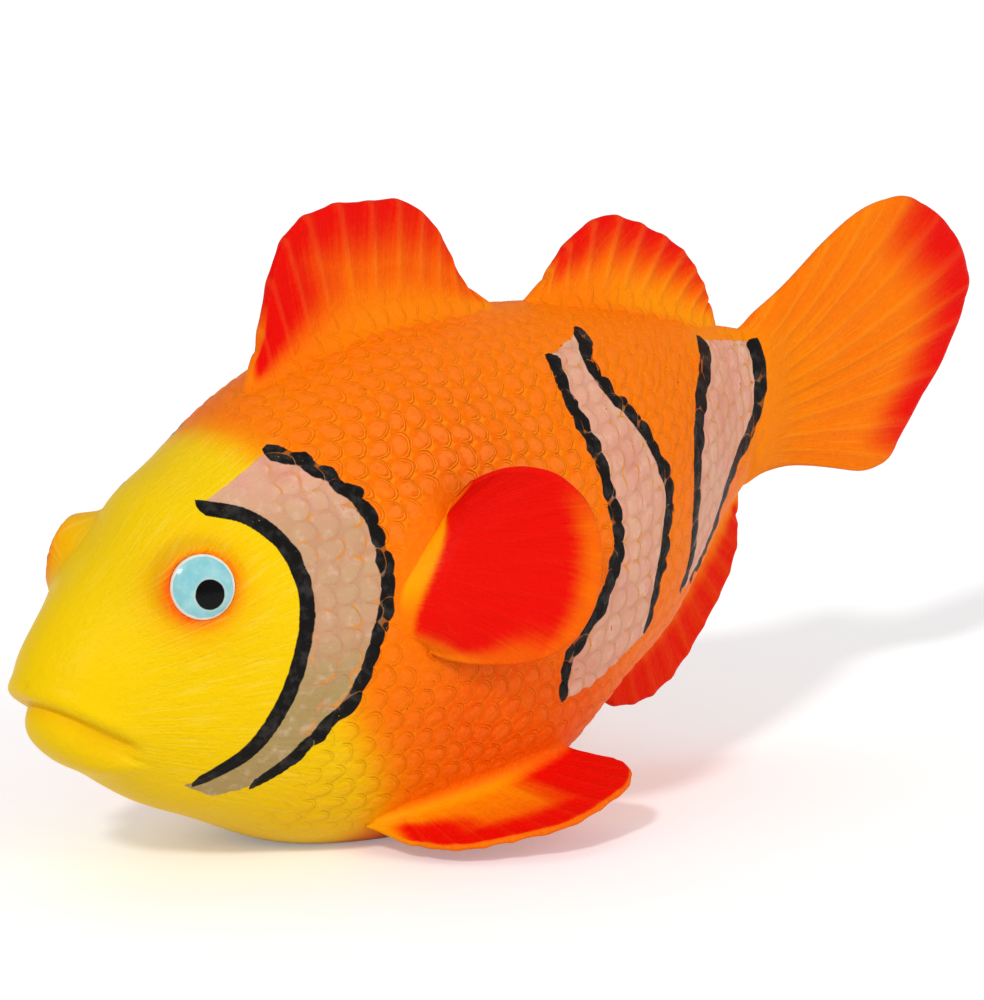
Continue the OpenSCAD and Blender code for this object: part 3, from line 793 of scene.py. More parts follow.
def fin_mesh(name, feet_at, tips_at, side, rays, settle, paint, skirt=(5.0, 5.0), fillet=8.0, mirrored=False,
             rim_half=RIM, scallop=SCALLOP, fairing=(3.2, 3.2), slant=0.0, ridge_run=None, ribs=1.0):
    """Fin that grows out of the skin, with a skirt, a fillet, two faces with rays and a scalloped rim."""
    share = np.linspace(0, 1, rays * FIN_COLUMNS + 1)
    tips = tips_at(share)
    rib = fin_ribs(share, *feet_at(share), tips, rays, settle, scallop, fairing)
    grid, v = fin_lanes(rib, side, settle, skirt, fillet, rim_half, ribs)
    u = rib.share[:, None]
    points = np.concatenate([grid.reshape(-1, 3), grid[[0, -1]].mean(axis=1)])
    red, gold = paint(u, v, rib.fade[:, None])
    scales = (0.0, 0.0, 0.0)
    if ridge_run:
        climb = np.cumsum(np.linalg.norm(np.diff(grid, axis=1, prepend=grid[:, :1]), axis=-1), axis=1)
        climb = np.minimum(climb, climb[:, -2:-1] - climb) - np.abs(grid[:, :1, 1])
        scales = (*sway(grid[..., 0], ridge_run(grid[..., 0], climb)), 0.5 * (1 - smooth(v, 0.04, 0.42)))
    reach = v * rib.length[:, None]
    spread = u * np.linalg.norm(np.diff(tips, axis=0), axis=1).sum()
    flow = (reach, spread - slant * reach, smooth(v, 0.03, 0.3))
    fields = fin_fields(points, v, red, gold, scales, flow, 0.5 * ribs * rib.ray[:, None])
    faces = loft_faces(*v.shape, len(points) - 2, len(points) - 1)
    if mirrored:
        points = points * [1, -1, 1]
    return add_closed_mesh(name, points, faces, fields)


# Amounts of red and of gold on the fins: u runs along the root, v from the root to the rim, and fade from the
# fairings' ends to the fin
def front_dorsal_paint(u, v, fade):
    red = most(0.95 * smooth(v, 0.05, 1.0) * (1 - 0.3 * smooth(u, 0.4, 0.95)),
               smooth(u, 0.62, 0.1) * smooth(v, -0.1, 0.5), 0.4 * smooth(v, 0.05, 0.45))
    bare = smooth(u, 0.14, 0.02) * smooth(v, 0.8, 1.0)
    gold = 0.2 * smooth(v, 0.4, 0.1) * smooth(u, 0.1, 0.4)
    return red * smooth(fade, 0.3, 1.0) * (1 - 0.7 * bare), gold


def rear_dorsal_paint(u, v, fade):
    red = most(0.9 * smooth(v, 0.1, 1.05) * (1 - 0.4 * smooth(u, 0.55, 1.0)) * smooth(u, 0.0, 0.2),
               0.85 * smooth(u, 0.62, 0.2) * smooth(v, 0.1, 0.85) * smooth(u, 0.0, 0.14))
    gold = 0.55 * smooth(v, 0.7, 0.1) * smooth(u, 0.15, 0.6)
    return red * smooth(fade, 0.3, 1.0), gold * smooth(v, 0.0, 0.1)


def anal_paint(u, v, fade):
    red = 0.8 * smooth(v, 0.15, 0.6)
    return red * smooth(fade, 0.3, 1.0), 0.35 * smooth(v, 0.4, 0.0) * smooth(v, 0.0, 0.08)


def tail_paint(u, v):
    window = smooth(u, 0.2, 0.34) * smooth(u, 0.82, 0.66)
    red = most(smooth(v, 0.7, 1.0) * window, 0.08 * smooth(v, 0.2, 0.6))
    return red, 0.3 * smooth(v, 0.65, 0.1)


def pectoral_paint(u, v, fade):
    rim = most(smooth(v, 0.78, 0.96) * smooth(u, 0.82, 0.6), smooth(v, 0.52, 0.85) * smooth(u, 0.42, 0.25))
    red = smooth(v - 0.03 * smooth(u, 0.25, 0.6), 0.03, 0.1) * (1 - 0.66 * rim)
    gold = smooth(v, 0.15, 0.08) * smooth(v, 0.0, 0.012) * smooth(u, 0.2, 0.5)
    return red * smooth(fade, 0.2, 1.0) * smooth(u, 0.03, 0.22), gold


def pelvic_paint(u, v, fade):
    rim = smooth(v, 0.955, 0.99)
    red = most(0.95 * smooth(v, 0.5, 0.82), 1.1 * smooth(u, 0.4, 0.69) * smooth(v, 0.0, 0.3),
               0.95 * smooth(u, 0.45, 0.15) * smooth(v, 0.15, 0.6), 0.3 * smooth(v, 0.1, 0.3))
    gold = smooth(v, 0.75, 0.3) * 0.85 * smooth(v, 0.0, 0.15) * smooth(u, 0.8, 0.5)
    return red * (1 - 0.85 * rim) * smooth(fade, 0.3, 1.0), gold


def ridge_fin(name, place, length, height, outline, rays, paint, below=False, **options):
    """Fin along the back or the belly, about a place in shares of the trunk."""
    first_x = NOSE_X + place * TRUNK - length / 2
    side = np.array([0.0, 1.0 if below else -1.0, 0.0])
    ends, _ = ridge_feet(first_x, length, np.array([0.0, 1.0]), below)
    chord = ends[1] - ends[0]
    rise = unit(np.cross(side, chord)[None])[0]
    edges = np.array([ends[0] + chord * a + rise * (height - RIM) * b for a, b in outline])

    def ridge_run(x, climb):
        return ridge_length(x, below) + (-climb if below else climb)

    return fin_mesh(
        name, lambda s: ridge_feet(first_x, length, s, below), lambda s: curve(edges, s) + rise * RIM * 0.6,
        side, rays, on_ridge(below), paint, ridge_run=ridge_run, **options)


def pectoral_fin(name, mirrored):
    """Fin that stands out from the flank and points to the rear."""
    spread = math.radians(PECTORAL_SPREAD)
    out = np.array([math.cos(spread), math.sin(spread), 0.0])
    up = np.array([0.0, 0.0, PECTORAL_HALF_HEIGHT - RIM])
    halves = np.array([-0.5, 0.0, 0.5])
    root_z = PECTORAL_Z - PECTORAL_DROP + PECTORAL_ROOT_HEIGHT * halves
    ends, normals = side_feet(PECTORAL_X + PECTORAL_LEAN * halves, root_z)
    start = (ends[0] + ends[2]) / 2 + normals[1] * ROOT_LIFT
    start[2] = PECTORAL_Z
    edges = np.array([start + out * (PECTORAL_LENGTH - RIM) * a + up * b for a, b in PECTORAL])
    side = np.array([-out[1], out[0], 0.0])
    return fin_mesh(
        name, flank_root(PECTORAL_ROOT), lambda s: curve(edges, s) + out * RIM, side, PECTORAL_RAYS, on_side,
        pectoral_paint, skirt=(2.6, 1.4), fillet=4.5, mirrored=mirrored, scallop=0.12, fairing=(2.4, 1.2),
        slant=-0.25, ribs=0.3)


def pelvic_fin(name, mirrored):
    """Fin that stands out sideways from the belly's edge."""
    droop = math.radians(PELVIC_DROOP)
    out = np.array([0.0, math.cos(droop), -math.sin(droop)])
    feet_at = flank_root(PELVIC_ROOT)
    ends, normals = feet_at(np.array([0.0, 1.0]))
    start, end = ends + normals * ROOT_LIFT
    chord = end - start
    edges = np.array([start + chord * a + out * (PELVIC_LENGTH - RIM) * b for a, b in PELVIC])
    side = unit(np.cross(chord, out)[None])[0]
    return fin_mesh(
        name, feet_at, lambda s: curve(edges, s) + out * 1.2 - side * 0.5, side, PELVIC_RAYS, on_side,
        pelvic_paint, skirt=(4.5, 2.0), fillet=5.5, mirrored=mirrored, rim_half=0.6, scallop=0.2,
        fairing=(4.5, 1.2), ribs=0.4)


TAIL_START = 33.0
TAIL_ROOT_ROWS = 26
TAIL_ROWS = 120
TAIL_AROUND = 416
TAIL_LENGTH = 54.0
TAIL_HALF_HEIGHT = 22.5
TAIL_RISE = 8.0
TAIL_RAYS = 14
TAIL_SCALLOP = 0.3
TAIL_RELIEF = 0.08
TAIL_RAY_PAINT = 0.36
TAIL_EDGE = 1.4
TAIL_FAN = 90.0


def tail_tips(angle, share):
    """Places on the tail's rim, with notches between the rays."""
    middle = (level(STALK_X, BELLY) + level(STALK_X, BACK)) / 2 + TAIL_RISE
    edges = [[STALK_X + (TAIL_LENGTH - RIM) * a, 0, middle + (TAIL_HALF_HEIGHT - RIM) * b] for a, b in TAIL]
    tips = curve(np.array(edges), share)
    fan = tips - ring(np.full_like(angle, STALK_X), angle) * [1, 0, 1]
    notch = 1 - np.abs(np.sin(np.pi * TAIL_RAYS * share)) ** 0.5
    cut = notch * TAIL_SCALLOP * smooth(np.linalg.norm(fan, axis=1), 10, 25)
    return tips + unit(fan) * (RIM * 0.8 - cut)[:, None]


def tail_end_faces(first):
    """Faces that close the tail's last row, whose two sides meet at the rim."""
    half, quarter = TAIL_AROUND // 2, TAIL_AROUND // 4
    faces = []
    for j in range(-quarter, quarter):
        corners = [first + k % TAIL_AROUND for k in (j, j + 1, half - j - 1, half - j)]
        face = tuple(dict.fromkeys(corners))
        if len(face) > 2:
            faces.append(face)
    return faces


def make_tail():
    """Tail fin that carries the stalk's round section on into a thin blade."""
    angle = np.linspace(0, 2 * np.pi, TAIL_AROUND, endpoint=False)
    share = 0.5 + 0.5 * np.sin(angle)
    ray = ray_form(share, TAIL_RAYS)
    tips = tail_tips(angle, share)
    rows = []
    for x in np.linspace(TAIL_START, STALK_X, TAIL_ROOT_ROWS):
        section = ring(np.full_like(angle, x), angle)
        proud = -0.3 + 0.42 * smooth(x, TAIL_START, STALK_X - 2)
        rows.append(section + unit(section - np.array([x, 0, level(x, WIDEST)])) * proud)
    base = rows[-1]
    flat = base * [1, 0, 1]
    length = np.linalg.norm(tips - flat, axis=1)
    control = flat + np.outer(0.3 * length, [1, 0, 0])
    blade = np.sign(np.cos(angle)) * np.abs(np.cos(angle)) ** 0.4
    steps = 1 - (1 - np.linspace(0, 1, TAIL_ROWS - TAIL_ROOT_ROWS + 1)[1:]) ** 1.25
    for t in steps:
        path = (1 - t) ** 2 * flat + 2 * t * (1 - t) * control + t * t * tips
        h = t * length
        wide = (1.15 + 1.2 * (1 - t)) * blade * (1 + TAIL_RELIEF * ray * smooth(h, 6, 18))
        mixed = smooth(h, 0, np.clip(length, 3.0, 18.0))
        rim = np.clip((h - (length - TAIL_EDGE)) / TAIL_EDGE, 0, 1)
        y = (base[:, 1] * (1 - mixed) + wide * mixed) * np.sqrt(1 - rim ** 2)
        rows.append(np.stack([path[:, 0], y, path[:, 2]], axis=1))
    grid = np.stack(rows)
    x = grid[..., 0]
    v = np.repeat(np.concatenate([np.zeros(TAIL_ROOT_ROWS), steps])[:, None], TAIL_AROUND, 1)
    points = np.concatenate([grid.reshape(-1, 3), [[TAIL_START, 0, level(TAIL_START, WIDEST)]]])
    faces = loft_faces(len(grid), TAIL_AROUND, len(points) - 1, None)
    faces += tail_end_faces(v.size - TAIL_AROUND)
    run = round_length(grid[:TAIL_ROOT_ROWS])
    run = np.concatenate([run, np.repeat(run[-1:], len(steps), 0)])
    scales = (*sway(x, run), 0.5 * (1 - smooth(x, STALK_X - 2, STALK_X + 8)))
    flow = (v * length, share * TAIL_FAN, smooth(v, 0.05, 0.3))
    fields = fin_fields(points, v, *tail_paint(share, v), scales, flow, TAIL_RAY_PAINT * ray)
    return add_closed_mesh("tail", points, faces, fields)


# ---- shader graph

def rgb(red, green, blue):
    """Colour written as it shows on a screen, 0 to 255, as linear light."""
    def linear(c):
        c /= 255
        return c / 12.92 if c <= 0.04045 else ((c + 0.055) / 1.055) ** 2.4
    return (linear(red), linear(green), linear(blue), 1.0)


class Field:
    """A number in a shader graph, so that formulas read as they do for arrays."""

    def __init__(self, graph, socket):
        self.graph, self.socket = graph, socket

    def work(self, operation, other):
        return self.graph.math(operation, self, other)

    def __rsub__(self, other):
        return self.graph.math("SUBTRACT", other, self)

    __add__ = __radd__ = partialmethod(work, "ADD")
    __sub__ = partialmethod(work, "SUBTRACT")
    __mul__ = __rmul__ = partialmethod(work, "MULTIPLY")
    __truediv__ = partialmethod(work, "DIVIDE")


class Graph:
    """Builds one material's nodes."""

    def __init__(self, name):
        self.material = bpy.data.materials.new(name)
        self.material.use_nodes = True
        self.tree = self.material.node_tree
        self.shader = self.tree.nodes["Principled BSDF"]

    def plug(self, socket, value):
        if isinstance(value, Field):
            self.tree.links.new(value.socket, socket)
        else:
            socket.default_value = value

    def node(self, kind, inputs=(), **settings):
        """New node with its settings made and its inputs plugged."""
        node = self.tree.nodes.new(kind)
        for key, value in settings.items():
            setattr(node, key, value)
        for key, value in dict(inputs).items():
            self.plug(node.inputs[key], value)
        return node

    def field(self, kind, inputs, output=0, **settings):
        return Field(self, self.node(kind, inputs, **settings).outputs[output])

    def math(self, operation, *values):
        return self.field("ShaderNodeMath", enumerate(values), operation=operation)

    floor = partialmethod(math, "FLOOR")
    ceil = partialmethod(math, "CEIL")
    sqrt = partialmethod(math, "SQRT")
    cosine = partialmethod(math, "COSINE")
    fraction = partialmethod(math, "FRACT")
    maximum = partialmethod(math, "MAXIMUM")
    less = partialmethod(math, "LESS_THAN")

    def step(self, v, low, high):
        inputs = {"Value": v, "From Min": low, "From Max": high}
        return self.field("ShaderNodeMapRange", inputs, interpolation_type="SMOOTHSTEP")

    def vector(self, x, y, z=0.0):
        return self.field("ShaderNodeCombineXYZ", enumerate((x, y, z)))

    def attribute(self, name):
        vector = self.field("ShaderNodeAttribute", {}, "Vector", attribute_name=name)
        return [Field(self, s) for s in self.node("ShaderNodeSeparateXYZ", {0: vector}).outputs]

    def place(self):
        return self.field("ShaderNodeTexCoord", {}, "Object")

    def noise(self, vector, scale, detail=3.0, roughness=0.55):
        inputs = {"Vector": vector, "Scale": scale, "Detail": detail, "Roughness": roughness}
        return self.field("ShaderNodeTexNoise", inputs, "Fac")

    def mix(self, factor, first, second):
        return self.field("ShaderNodeMix", {0: factor, 6: first, 7: second}, 2, data_type="RGBA")

    def coats(self, base, *coats):
        """Coats of colour over one another, each given by its amount and colour."""
        for amount, colour in coats:
            base = self.mix(amount, base, colour)
        return base

    def bump(self, height, distance):
        inputs = {"Strength": 1.0, "Distance": distance, "Height": height}
        self.plug(self.shader.inputs["Normal"], self.field("ShaderNodeBump", inputs))

    def set(self, **values):
        for name, value in values.items():
            self.plug(self.shader.inputs[name.replace("_", " ")], value)


YELLOW = rgb(242, 201, 2)
GOLD = rgb(247, 158, 0)
ORANGE = rgb(247, 119, 0)
DEEP = rgb(238, 70, 2)
RED = rgb(231, 12, 2)
SALMON = rgb(247, 126, 44)
CREAM = rgb(224, 161, 137)
IVORY = rgb(222, 169, 139)
TAN = rgb(172, 147, 94)
BLUSH = rgb(212, 122, 104)
SEAM = rgb(220, 142, 52)
# Painted shade at the rims of the scales in the pale bands
PAINTED_RIM_SHADE = rgb(192, 124, 100)
# Paler red on the fins' rays: painted highlight on the ray ridges
PAINTED_RIB_HIGHLIGHT = rgb(244, 88, 40)
# Paler and darker orange: paint specks, mottle and streaks, and also painted highlight and painted shadow at
# the scales' rims and painted highlight on the fins' rays
PALE_ORANGE_AND_HIGHLIGHT = rgb(255, 166, 30)
DARK_ORANGE_AND_SHADE = rgb(222, 78, 4)
INK = rgb(24, 22, 21)
# Grey patches on the dark lines: painted sheen
PAINTED_INK_SHEEN = rgb(58, 56, 54)
HALO = rgb(255, 104, 2)
# Painted glints on the head's hairlines
PAINTED_HAIR_GLINT = rgb(255, 236, 110)
# Painted highlights in the pale bands
BAND_HIGHLIGHT = rgb(242, 212, 196)
FLECK = rgb(214, 60, 52)
SPECK = rgb(90, 40, 8)
EYE_BLUE = rgb(132, 196, 204)
EYE_PALE_BLUE = rgb(166, 212, 212)
EYE_RING = rgb(214, 206, 190)
EYE_RIM = rgb(226, 228, 216)
PUPIL = rgb(5, 4, 4)
PUPIL_X, PUPIL_Y = 0.85, -1.15
ARC_RATE = 2 * math.pi / 0.22
BUMP_HEIGHT = 0.0006


def scaled_base(g, f):
    """Sprayed base: each scale has a mottled salmon middle, a darker ring and pale arcs along its rear rim; the
    pale and dark arcs are partly paint and partly painted highlight and painted shadow of the scale's edge.
    """
    painted = (1.0 - f.yellow * 0.6) * f.amount * f.vivid
    coin = g.step(f.radius + (f.mottle - 0.5) * 0.6, 0.7, 0.4) * painted
    arcs = g.cosine((f.radius + (f.mottle - 0.5) * 0.14 - 0.78) * ARC_RATE)
    f.arcs = arcs * g.step(f.radius, 0.54, 0.68) * g.step(f.run, -0.3, 0.3)
    return g.coats(
        ORANGE,
        (g.step(f.yellow + (f.cloud - 0.5) * 0.3, 0.18, 0.75), GOLD),
        (g.step(f.yellow + (f.cloud - 0.5) * 0.2, 0.45, 0.95), YELLOW),
        (f.deep * (0.55 + f.cloud * 0.6) * 0.85, DEEP),
        (coin * g.step(f.cloud, 0.25, 0.55) * 0.85, SALMON),
        # Pale and dark arcs at the rims: partly paint, partly painted highlight and painted shadow of the
        # scale's edge
        (g.step(f.arcs, 0.1, 0.9) * painted * 0.8, PALE_ORANGE_AND_HIGHLIGHT),
        (g.step(f.arcs, -0.1, -0.9) * painted * 0.85, DARK_ORANGE_AND_SHADE),
        (g.step(f.mottle, 0.5, 0.72) * (1.0 - f.yellow) * (0.1 + f.vivid * 0.2), DARK_ORANGE_AND_SHADE),
        (g.step(f.speckle, 0.5, 0.72) * (1.0 - f.yellow * 0.5) * 0.16, PALE_ORANGE_AND_HIGHLIGHT))


def sprayed_tints(g, f, base):
    """Orange ring round the eyes, gold and red spray with paler ribs on the fins, and hairs on the head. The
    paler ribs are a painted highlight on the rays' ridges, the hairs carry painted glints, and the gold in the
    mouth's slot is painted shade.
    """
    rib = g.step(f.ray, 0.6, 0.95) * g.step(f.streak, 0.3, 0.5)
    streaked = g.step(f.streak, 0.5, 0.72) * f.streaky * (1.0 - f.yellow)
    brushed = (f.streak - 0.5) * 0.42 + (0.5 - f.ray) * 0.14
    sprayed = g.step(f.red + brushed * g.step(f.red, 0.02, 0.3) + (f.speckle - 0.5) * 0.2, 0.0, 1.0)
    return g.coats(
        base,
        (f.halo * (0.8 + f.cloud * 0.4), HALO),
        # Gold: sprayed on the fins, and in the mouth's slot it is painted shade
        (f.gold * (0.7 + f.cloud * 0.5), GOLD),
        # Painted highlight on the fins' ray ridges, and paler streaks of spray
        (g.maximum(rib * 0.3, streaked * 0.25), PALE_ORANGE_AND_HIGHLIGHT),
        (sprayed, RED),
        (rib * sprayed * 0.25, PAINTED_RIB_HIGHLIGHT),
        # Painted glints along the head's hairlines
        (g.step(f.hair, 0.5, 0.68) * f.streaky * g.step(f.yellow, 0.4, 0.9) * 0.14, PAINTED_HAIR_GLINT))


def pale_bands(g, f, base):
    """Pale bands, with bare seams between the scales, a pink blush and red flecks, painted shade at the scales'
    rims and painted highlights in patches.
    """
    ragged = (g.noise(f.here, 420.0, 2.0) - 0.5) * 0.5 + (0.55 - f.radius) * f.amount * 0.6
    f.in_band = g.step(f.depth + ragged, -0.12, 0.12)
    f.pits = g.noise(f.here, 520.0, 3.0)
    patch = g.noise(f.here, 150.0, 2.0)
    edged = g.step(f.amount, 0.05, 0.3)
    seams = g.step(f.radius, 0.74, 0.86) * g.step(f.run, -0.3, 0.2) * edged
    seams = seams * g.step(f.pits, 0.5, 0.58) * g.step(patch, 0.34, 0.5)
    pale = g.coats(
        CREAM,
        (g.step(g.noise(f.here, 210.0, 2.0), 0.38, 0.66), IVORY),
        (g.step(patch, 0.52, 0.7) * 0.3, BLUSH),
        (f.tan, TAN),
        # Painted shade at the scales' rims
        (g.step(f.radius, 0.6, 0.9) * edged * 0.25, PAINTED_RIM_SHADE),
        # Painted highlights in patches
        (g.step(f.pits, 0.5, 0.8) * 0.35, BAND_HIGHLIGHT),
        (seams * 0.85, SEAM),
        (g.step(g.noise(f.here, 520.0, 1.0), 0.74, 0.8) * (1.0 - f.tan) * 0.8, FLECK))
    return g.mix(f.in_band, base, pale)


def dark_lines(g, f, base):
    """Dark brushed lines, scalloped and broken by the scales, with grey patches of painted sheen, and stray
    specks of dark paint.
    """
    wide = f.width * 1.3 + (g.noise(f.here, 300.0, 2.0) - 0.5) * (0.25 + f.amount * 0.8)
    wide = wide + (0.52 - f.radius) * f.amount * 1.25
    gap = g.step(f.radius, 0.9, 0.98) * g.step(f.amount, 0.2, 0.5)
    gap = gap * g.step(g.noise(f.here, 260.0, 1.0), 0.46, 0.54)
    inked = g.step(wide - f.line, -0.1, 0.1) * (1.0 - gap * 0.4)
    f.inked = inked * (1.0 - g.step(f.speckle, 0.72, 0.76) * 0.5)
    # Grey patches of painted sheen on the dark lines
    ink_and_sheen = g.mix(g.step(f.pits, 0.45, 0.7) * 0.7, INK, PAINTED_INK_SHEEN)
    speck = g.step(g.noise(f.here, 1150.0, 0.0), 0.874, 0.885) * f.amount
    return g.coats(base, (f.inked, ink_and_sheen), (speck * 0.8, SPECK))


def fish_rubber(name):
    """Satin soft rubber, sprayed from yellow to orange and red, with brushed pale bands and dark lines."""
    g = Graph(name)
    f = SimpleNamespace(here=g.place())
    p, q, f.amount = g.attribute("scales")
    f.yellow, f.deep, f.halo = g.attribute("paint")
    f.depth, f.line, f.width = g.attribute("stripes")
    along, spread, f.streaky = g.attribute("flow")
    f.red, f.gold, _ = g.attribute("fin")
    f.tan, f.ray, f.vivid = g.attribute("extra")
    height, f.radius, f.run = scale_form(p, q, g)
    f.cloud = g.noise(f.here, 95.0, 3.0)
    f.speckle = g.noise(f.here, 1500.0, 2.0)
    f.streak = g.noise(g.vector(along * 0.06, spread * 1.1), 1.0, 3.0)
    f.hair = g.noise(g.vector(along * 0.13, spread * 1.9), 1.0, 3.0)
    f.mottle = g.noise(f.here, 900.0, 2.0)
    base = sprayed_tints(g, f, scaled_base(g, f))
    base = dark_lines(g, f, pale_bands(g, f, base))
    fine = f.hair * f.streaky * 0.32 + f.arcs * f.amount * 0.1 + height * f.amount * 0.85
    g.bump(fine + f.in_band * f.pits * 0.35 + f.mottle * 0.4 + f.inked * 0.12, BUMP_HEIGHT)
    rough = 0.58 - f.vivid * 0.3 - f.yellow * 0.1 + (f.cloud - 0.5) * 0.14
    g.set(Base_Color=base, Roughness=rough, Specular_IOR_Level=0.05)
    return g.material


def eye_gloss():
    """Glossy painted button: pale blue with a dark pupil and a white rim."""
    g = Graph("eye_gloss")
    x, y, radius = g.attribute("disc")
    here = g.place()
    cloud = g.noise(here, 420.0, 3.0)
    x, y = x - PUPIL_X, y - PUPIL_Y
    offset = g.sqrt(x * x + y * y)
    wobble = (g.noise(here, 700.0, 1.0) - 0.5) * 0.35
    base = g.coats(
        EYE_BLUE,
        (g.step(cloud, 0.35, 0.7), EYE_PALE_BLUE),
        (g.step(offset + wobble, 2.75, 2.3) * 0.4, EYE_RING),
        (g.step(radius + wobble, 4.5, 4.68), EYE_RIM),
        (g.step(offset + wobble * 0.5, 2.36, 2.2), PUPIL))
    g.bump(cloud + g.noise(here, 1500.0, 2.0) * 0.2, 0.00008)
    g.set(Base_Color=base, Roughness=0.12 + cloud * 0.1, Specular_IOR_Level=0.15)
    return g.material


def plug_rubber():
    """Bare orange rubber with a slightly rough moulded face."""
    g = Graph("plug_rubber")
    here = g.place()
    cloud = g.noise(here, 160.0, 3.0)
    g.bump(g.noise(here, 1400.0, 3.0), 0.0001)
    g.set(Base_Color=g.mix(cloud, rgb(250, 140, 10), rgb(238, 116, 6)), Roughness=0.45 + cloud * 0.15)
    return g.material


def filling_fibre():
    """White loose fibre."""
    g = Graph("filling_fibre")
    here = g.place()
    strand = g.noise(here, 600.0, 6.0, 0.7)
    g.bump(strand, 0.002)
    g.set(Base_Color=g.mix(strand, rgb(214, 212, 206), rgb(246, 245, 241)), Roughness=0.95)
    return g.material


# ---- pieces

def dress(obj, material, slot, *nodes):
    """Gives a piece its material and hides the nodes it replaces. The slot is not used."""
    obj.data.materials.clear()
    obj.data.materials.append(material)
    if nodes:
        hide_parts(*nodes)
    return obj


body_rubber = fish_rubber("body_rubber")
fin_rubber = fish_rubber("fin_rubber")

skin = dress(make_trunk(), body_rubber, "body_rubber", "body_skin")
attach(skin, "trunk")


def flex(obj, node, body, start, end):
    """A fin that replaces a node, its placement baked into its points; start and end are given in millimetres.
    The body is not used.
    """
    dress(obj, fin_rubber, "fin_rubber", node)
    tuple(np.array(start) * MM)
    tuple(np.array(end) * MM)
    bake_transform(obj)


def across_root(joint_name, way, low, high):
    """Two points along a fin's way, from its hinge's place, low and high millimetres out."""
    joint = next(j for j in frame["joints"] if j["name"] == joint_name)
    centre = np.array(joint["pos_m"]) / MM
    way = unit(np.array(way, float)[None])[0]
    return centre + way * low, centre + way * high


front = ridge_fin(
    "front_dorsal", place=0.4625, length=46.0, height=22.0, outline=FRONT_DORSAL, rays=11,
    paint=front_dorsal_paint, slant=0.12, fairing=(3.2, 1.8), ribs=0.75, scallop=0.28)
flex(front, "front_dorsal_fin", "front_dorsal",
     *across_root("front_dorsal_lean", (-0.1256, 0, 0.9921), -0.5, 9.0))
rear = ridge_fin(
    "rear_dorsal", place=0.8175, length=37.0, height=16.0, outline=REAR_DORSAL, rays=10,
    paint=rear_dorsal_paint, slant=0.6, fairing=(1.8, 3.2), scallop=0.25)
flex(rear, "rear_dorsal_fin", "rear_dorsal", *across_root("rear_dorsal_lean", (0.2128, 0, 0.9771), -0.5, 8.0))
anal = ridge_fin(
    "anal", place=0.8775, length=31.0, height=15.0, outline=ANAL, rays=11, paint=anal_paint, below=True,
    scallop=0.3, ribs=0.45)
flex(anal, "anal_fin", "anal", *across_root("anal_fin_lean", (0.626, 0, -0.7798), -1.0, 8.0))
tail = make_tail()
flex(tail, "tail_fin", "tail", (42.0, 0, 55.0), (58.0, 0, 55.0))
for side, mirrored in (("right", False), ("left", True)):
    turn = -1 if mirrored else 1
    pectoral = pectoral_fin(side + "_pectoral", mirrored)
    flex(pectoral, side + "_pectoral_fin", side + "_pectoral",
         *across_root(side + "_pectoral_flap", (0.704, 0.55 * turn, -0.45), 0.5, 9.0))
    pelvic = pelvic_fin(side + "_pelvic", mirrored)
    flex(pelvic, side + "_pelvic_fin", side + "_pelvic",
         *across_root(side + "_pelvic_flex", (0, 0.99 * turn, -0.139), -1.0, 6.0))


EYE_STEPS = 30
EYE_AROUND = 96
EYE_EDGE = 0.25
EYE_REAR = -2.0


def make_eye(name, turn):
    """Domed button with a rounded rim."""
    centre, out = EYE * [1, turn, 1], EYE_OUT * [1, turn, 1]
    rear_way = unit(np.array([[out[1] * turn, -out[0] * turn, 0.0]]))[0]
    up_way = np.cross(out, rear_way)
    up_way = up_way if up_way[2] > 0 else -up_way
    sphere = (EYE_RADIUS ** 2 + EYE_DOME ** 2) / (2 * EYE_DOME)
    radii = np.linspace(0, EYE_RADIUS - EYE_EDGE, EYE_STEPS)[1:]
    profile = [(r, math.sqrt(sphere ** 2 - r ** 2) - (sphere - EYE_DOME)) for r in radii]
    profile += [(EYE_RADIUS - 0.08, 0.02), (EYE_RADIUS, -0.2), (EYE_RADIUS, -1.2), (EYE_RADIUS - 0.4, -1.9)]
    angle = np.linspace(0, 2 * np.pi, EYE_AROUND, endpoint=False)
    points, discs = [], []
    for r, h in profile:
        a, b = r * np.cos(angle), r * np.sin(angle)
        points.append(centre + a[:, None] * rear_way + b[:, None] * up_way + h * out)
        discs.append(np.stack([a, b, np.full(EYE_AROUND, r)], axis=1))
    tips = np.stack([centre + out * h for h in (EYE_DOME, EYE_REAR)])
    points = np.concatenate(points + [tips])
    disc = np.concatenate(discs + [np.zeros((2, 3))])
    faces = loft_faces(len(profile), EYE_AROUND, len(points) - 2, len(points) - 1)
    return add_closed_mesh(name, points, faces, {"disc": disc.T})


gloss = eye_gloss()
for side, turn in (("right", 1), ("left", -1)):
    eye = dress(make_eye(side + "_eye_button", turn), gloss, "eye_plastic", side + "_eye")
    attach(eye, "trunk")

plug = frame["nodes"]["belly_plug"]
plug.data.materials.clear()
plug.data.materials.append(plug_rubber())


FILLING_STEP = 0.0022
LUMP_RATES = (420, 380, 400)
LUMP_PHASES = (0.0, 1.0, 2.0)
FILLING_INSET = 0.0012
LUMP_HEIGHT = 0.0008


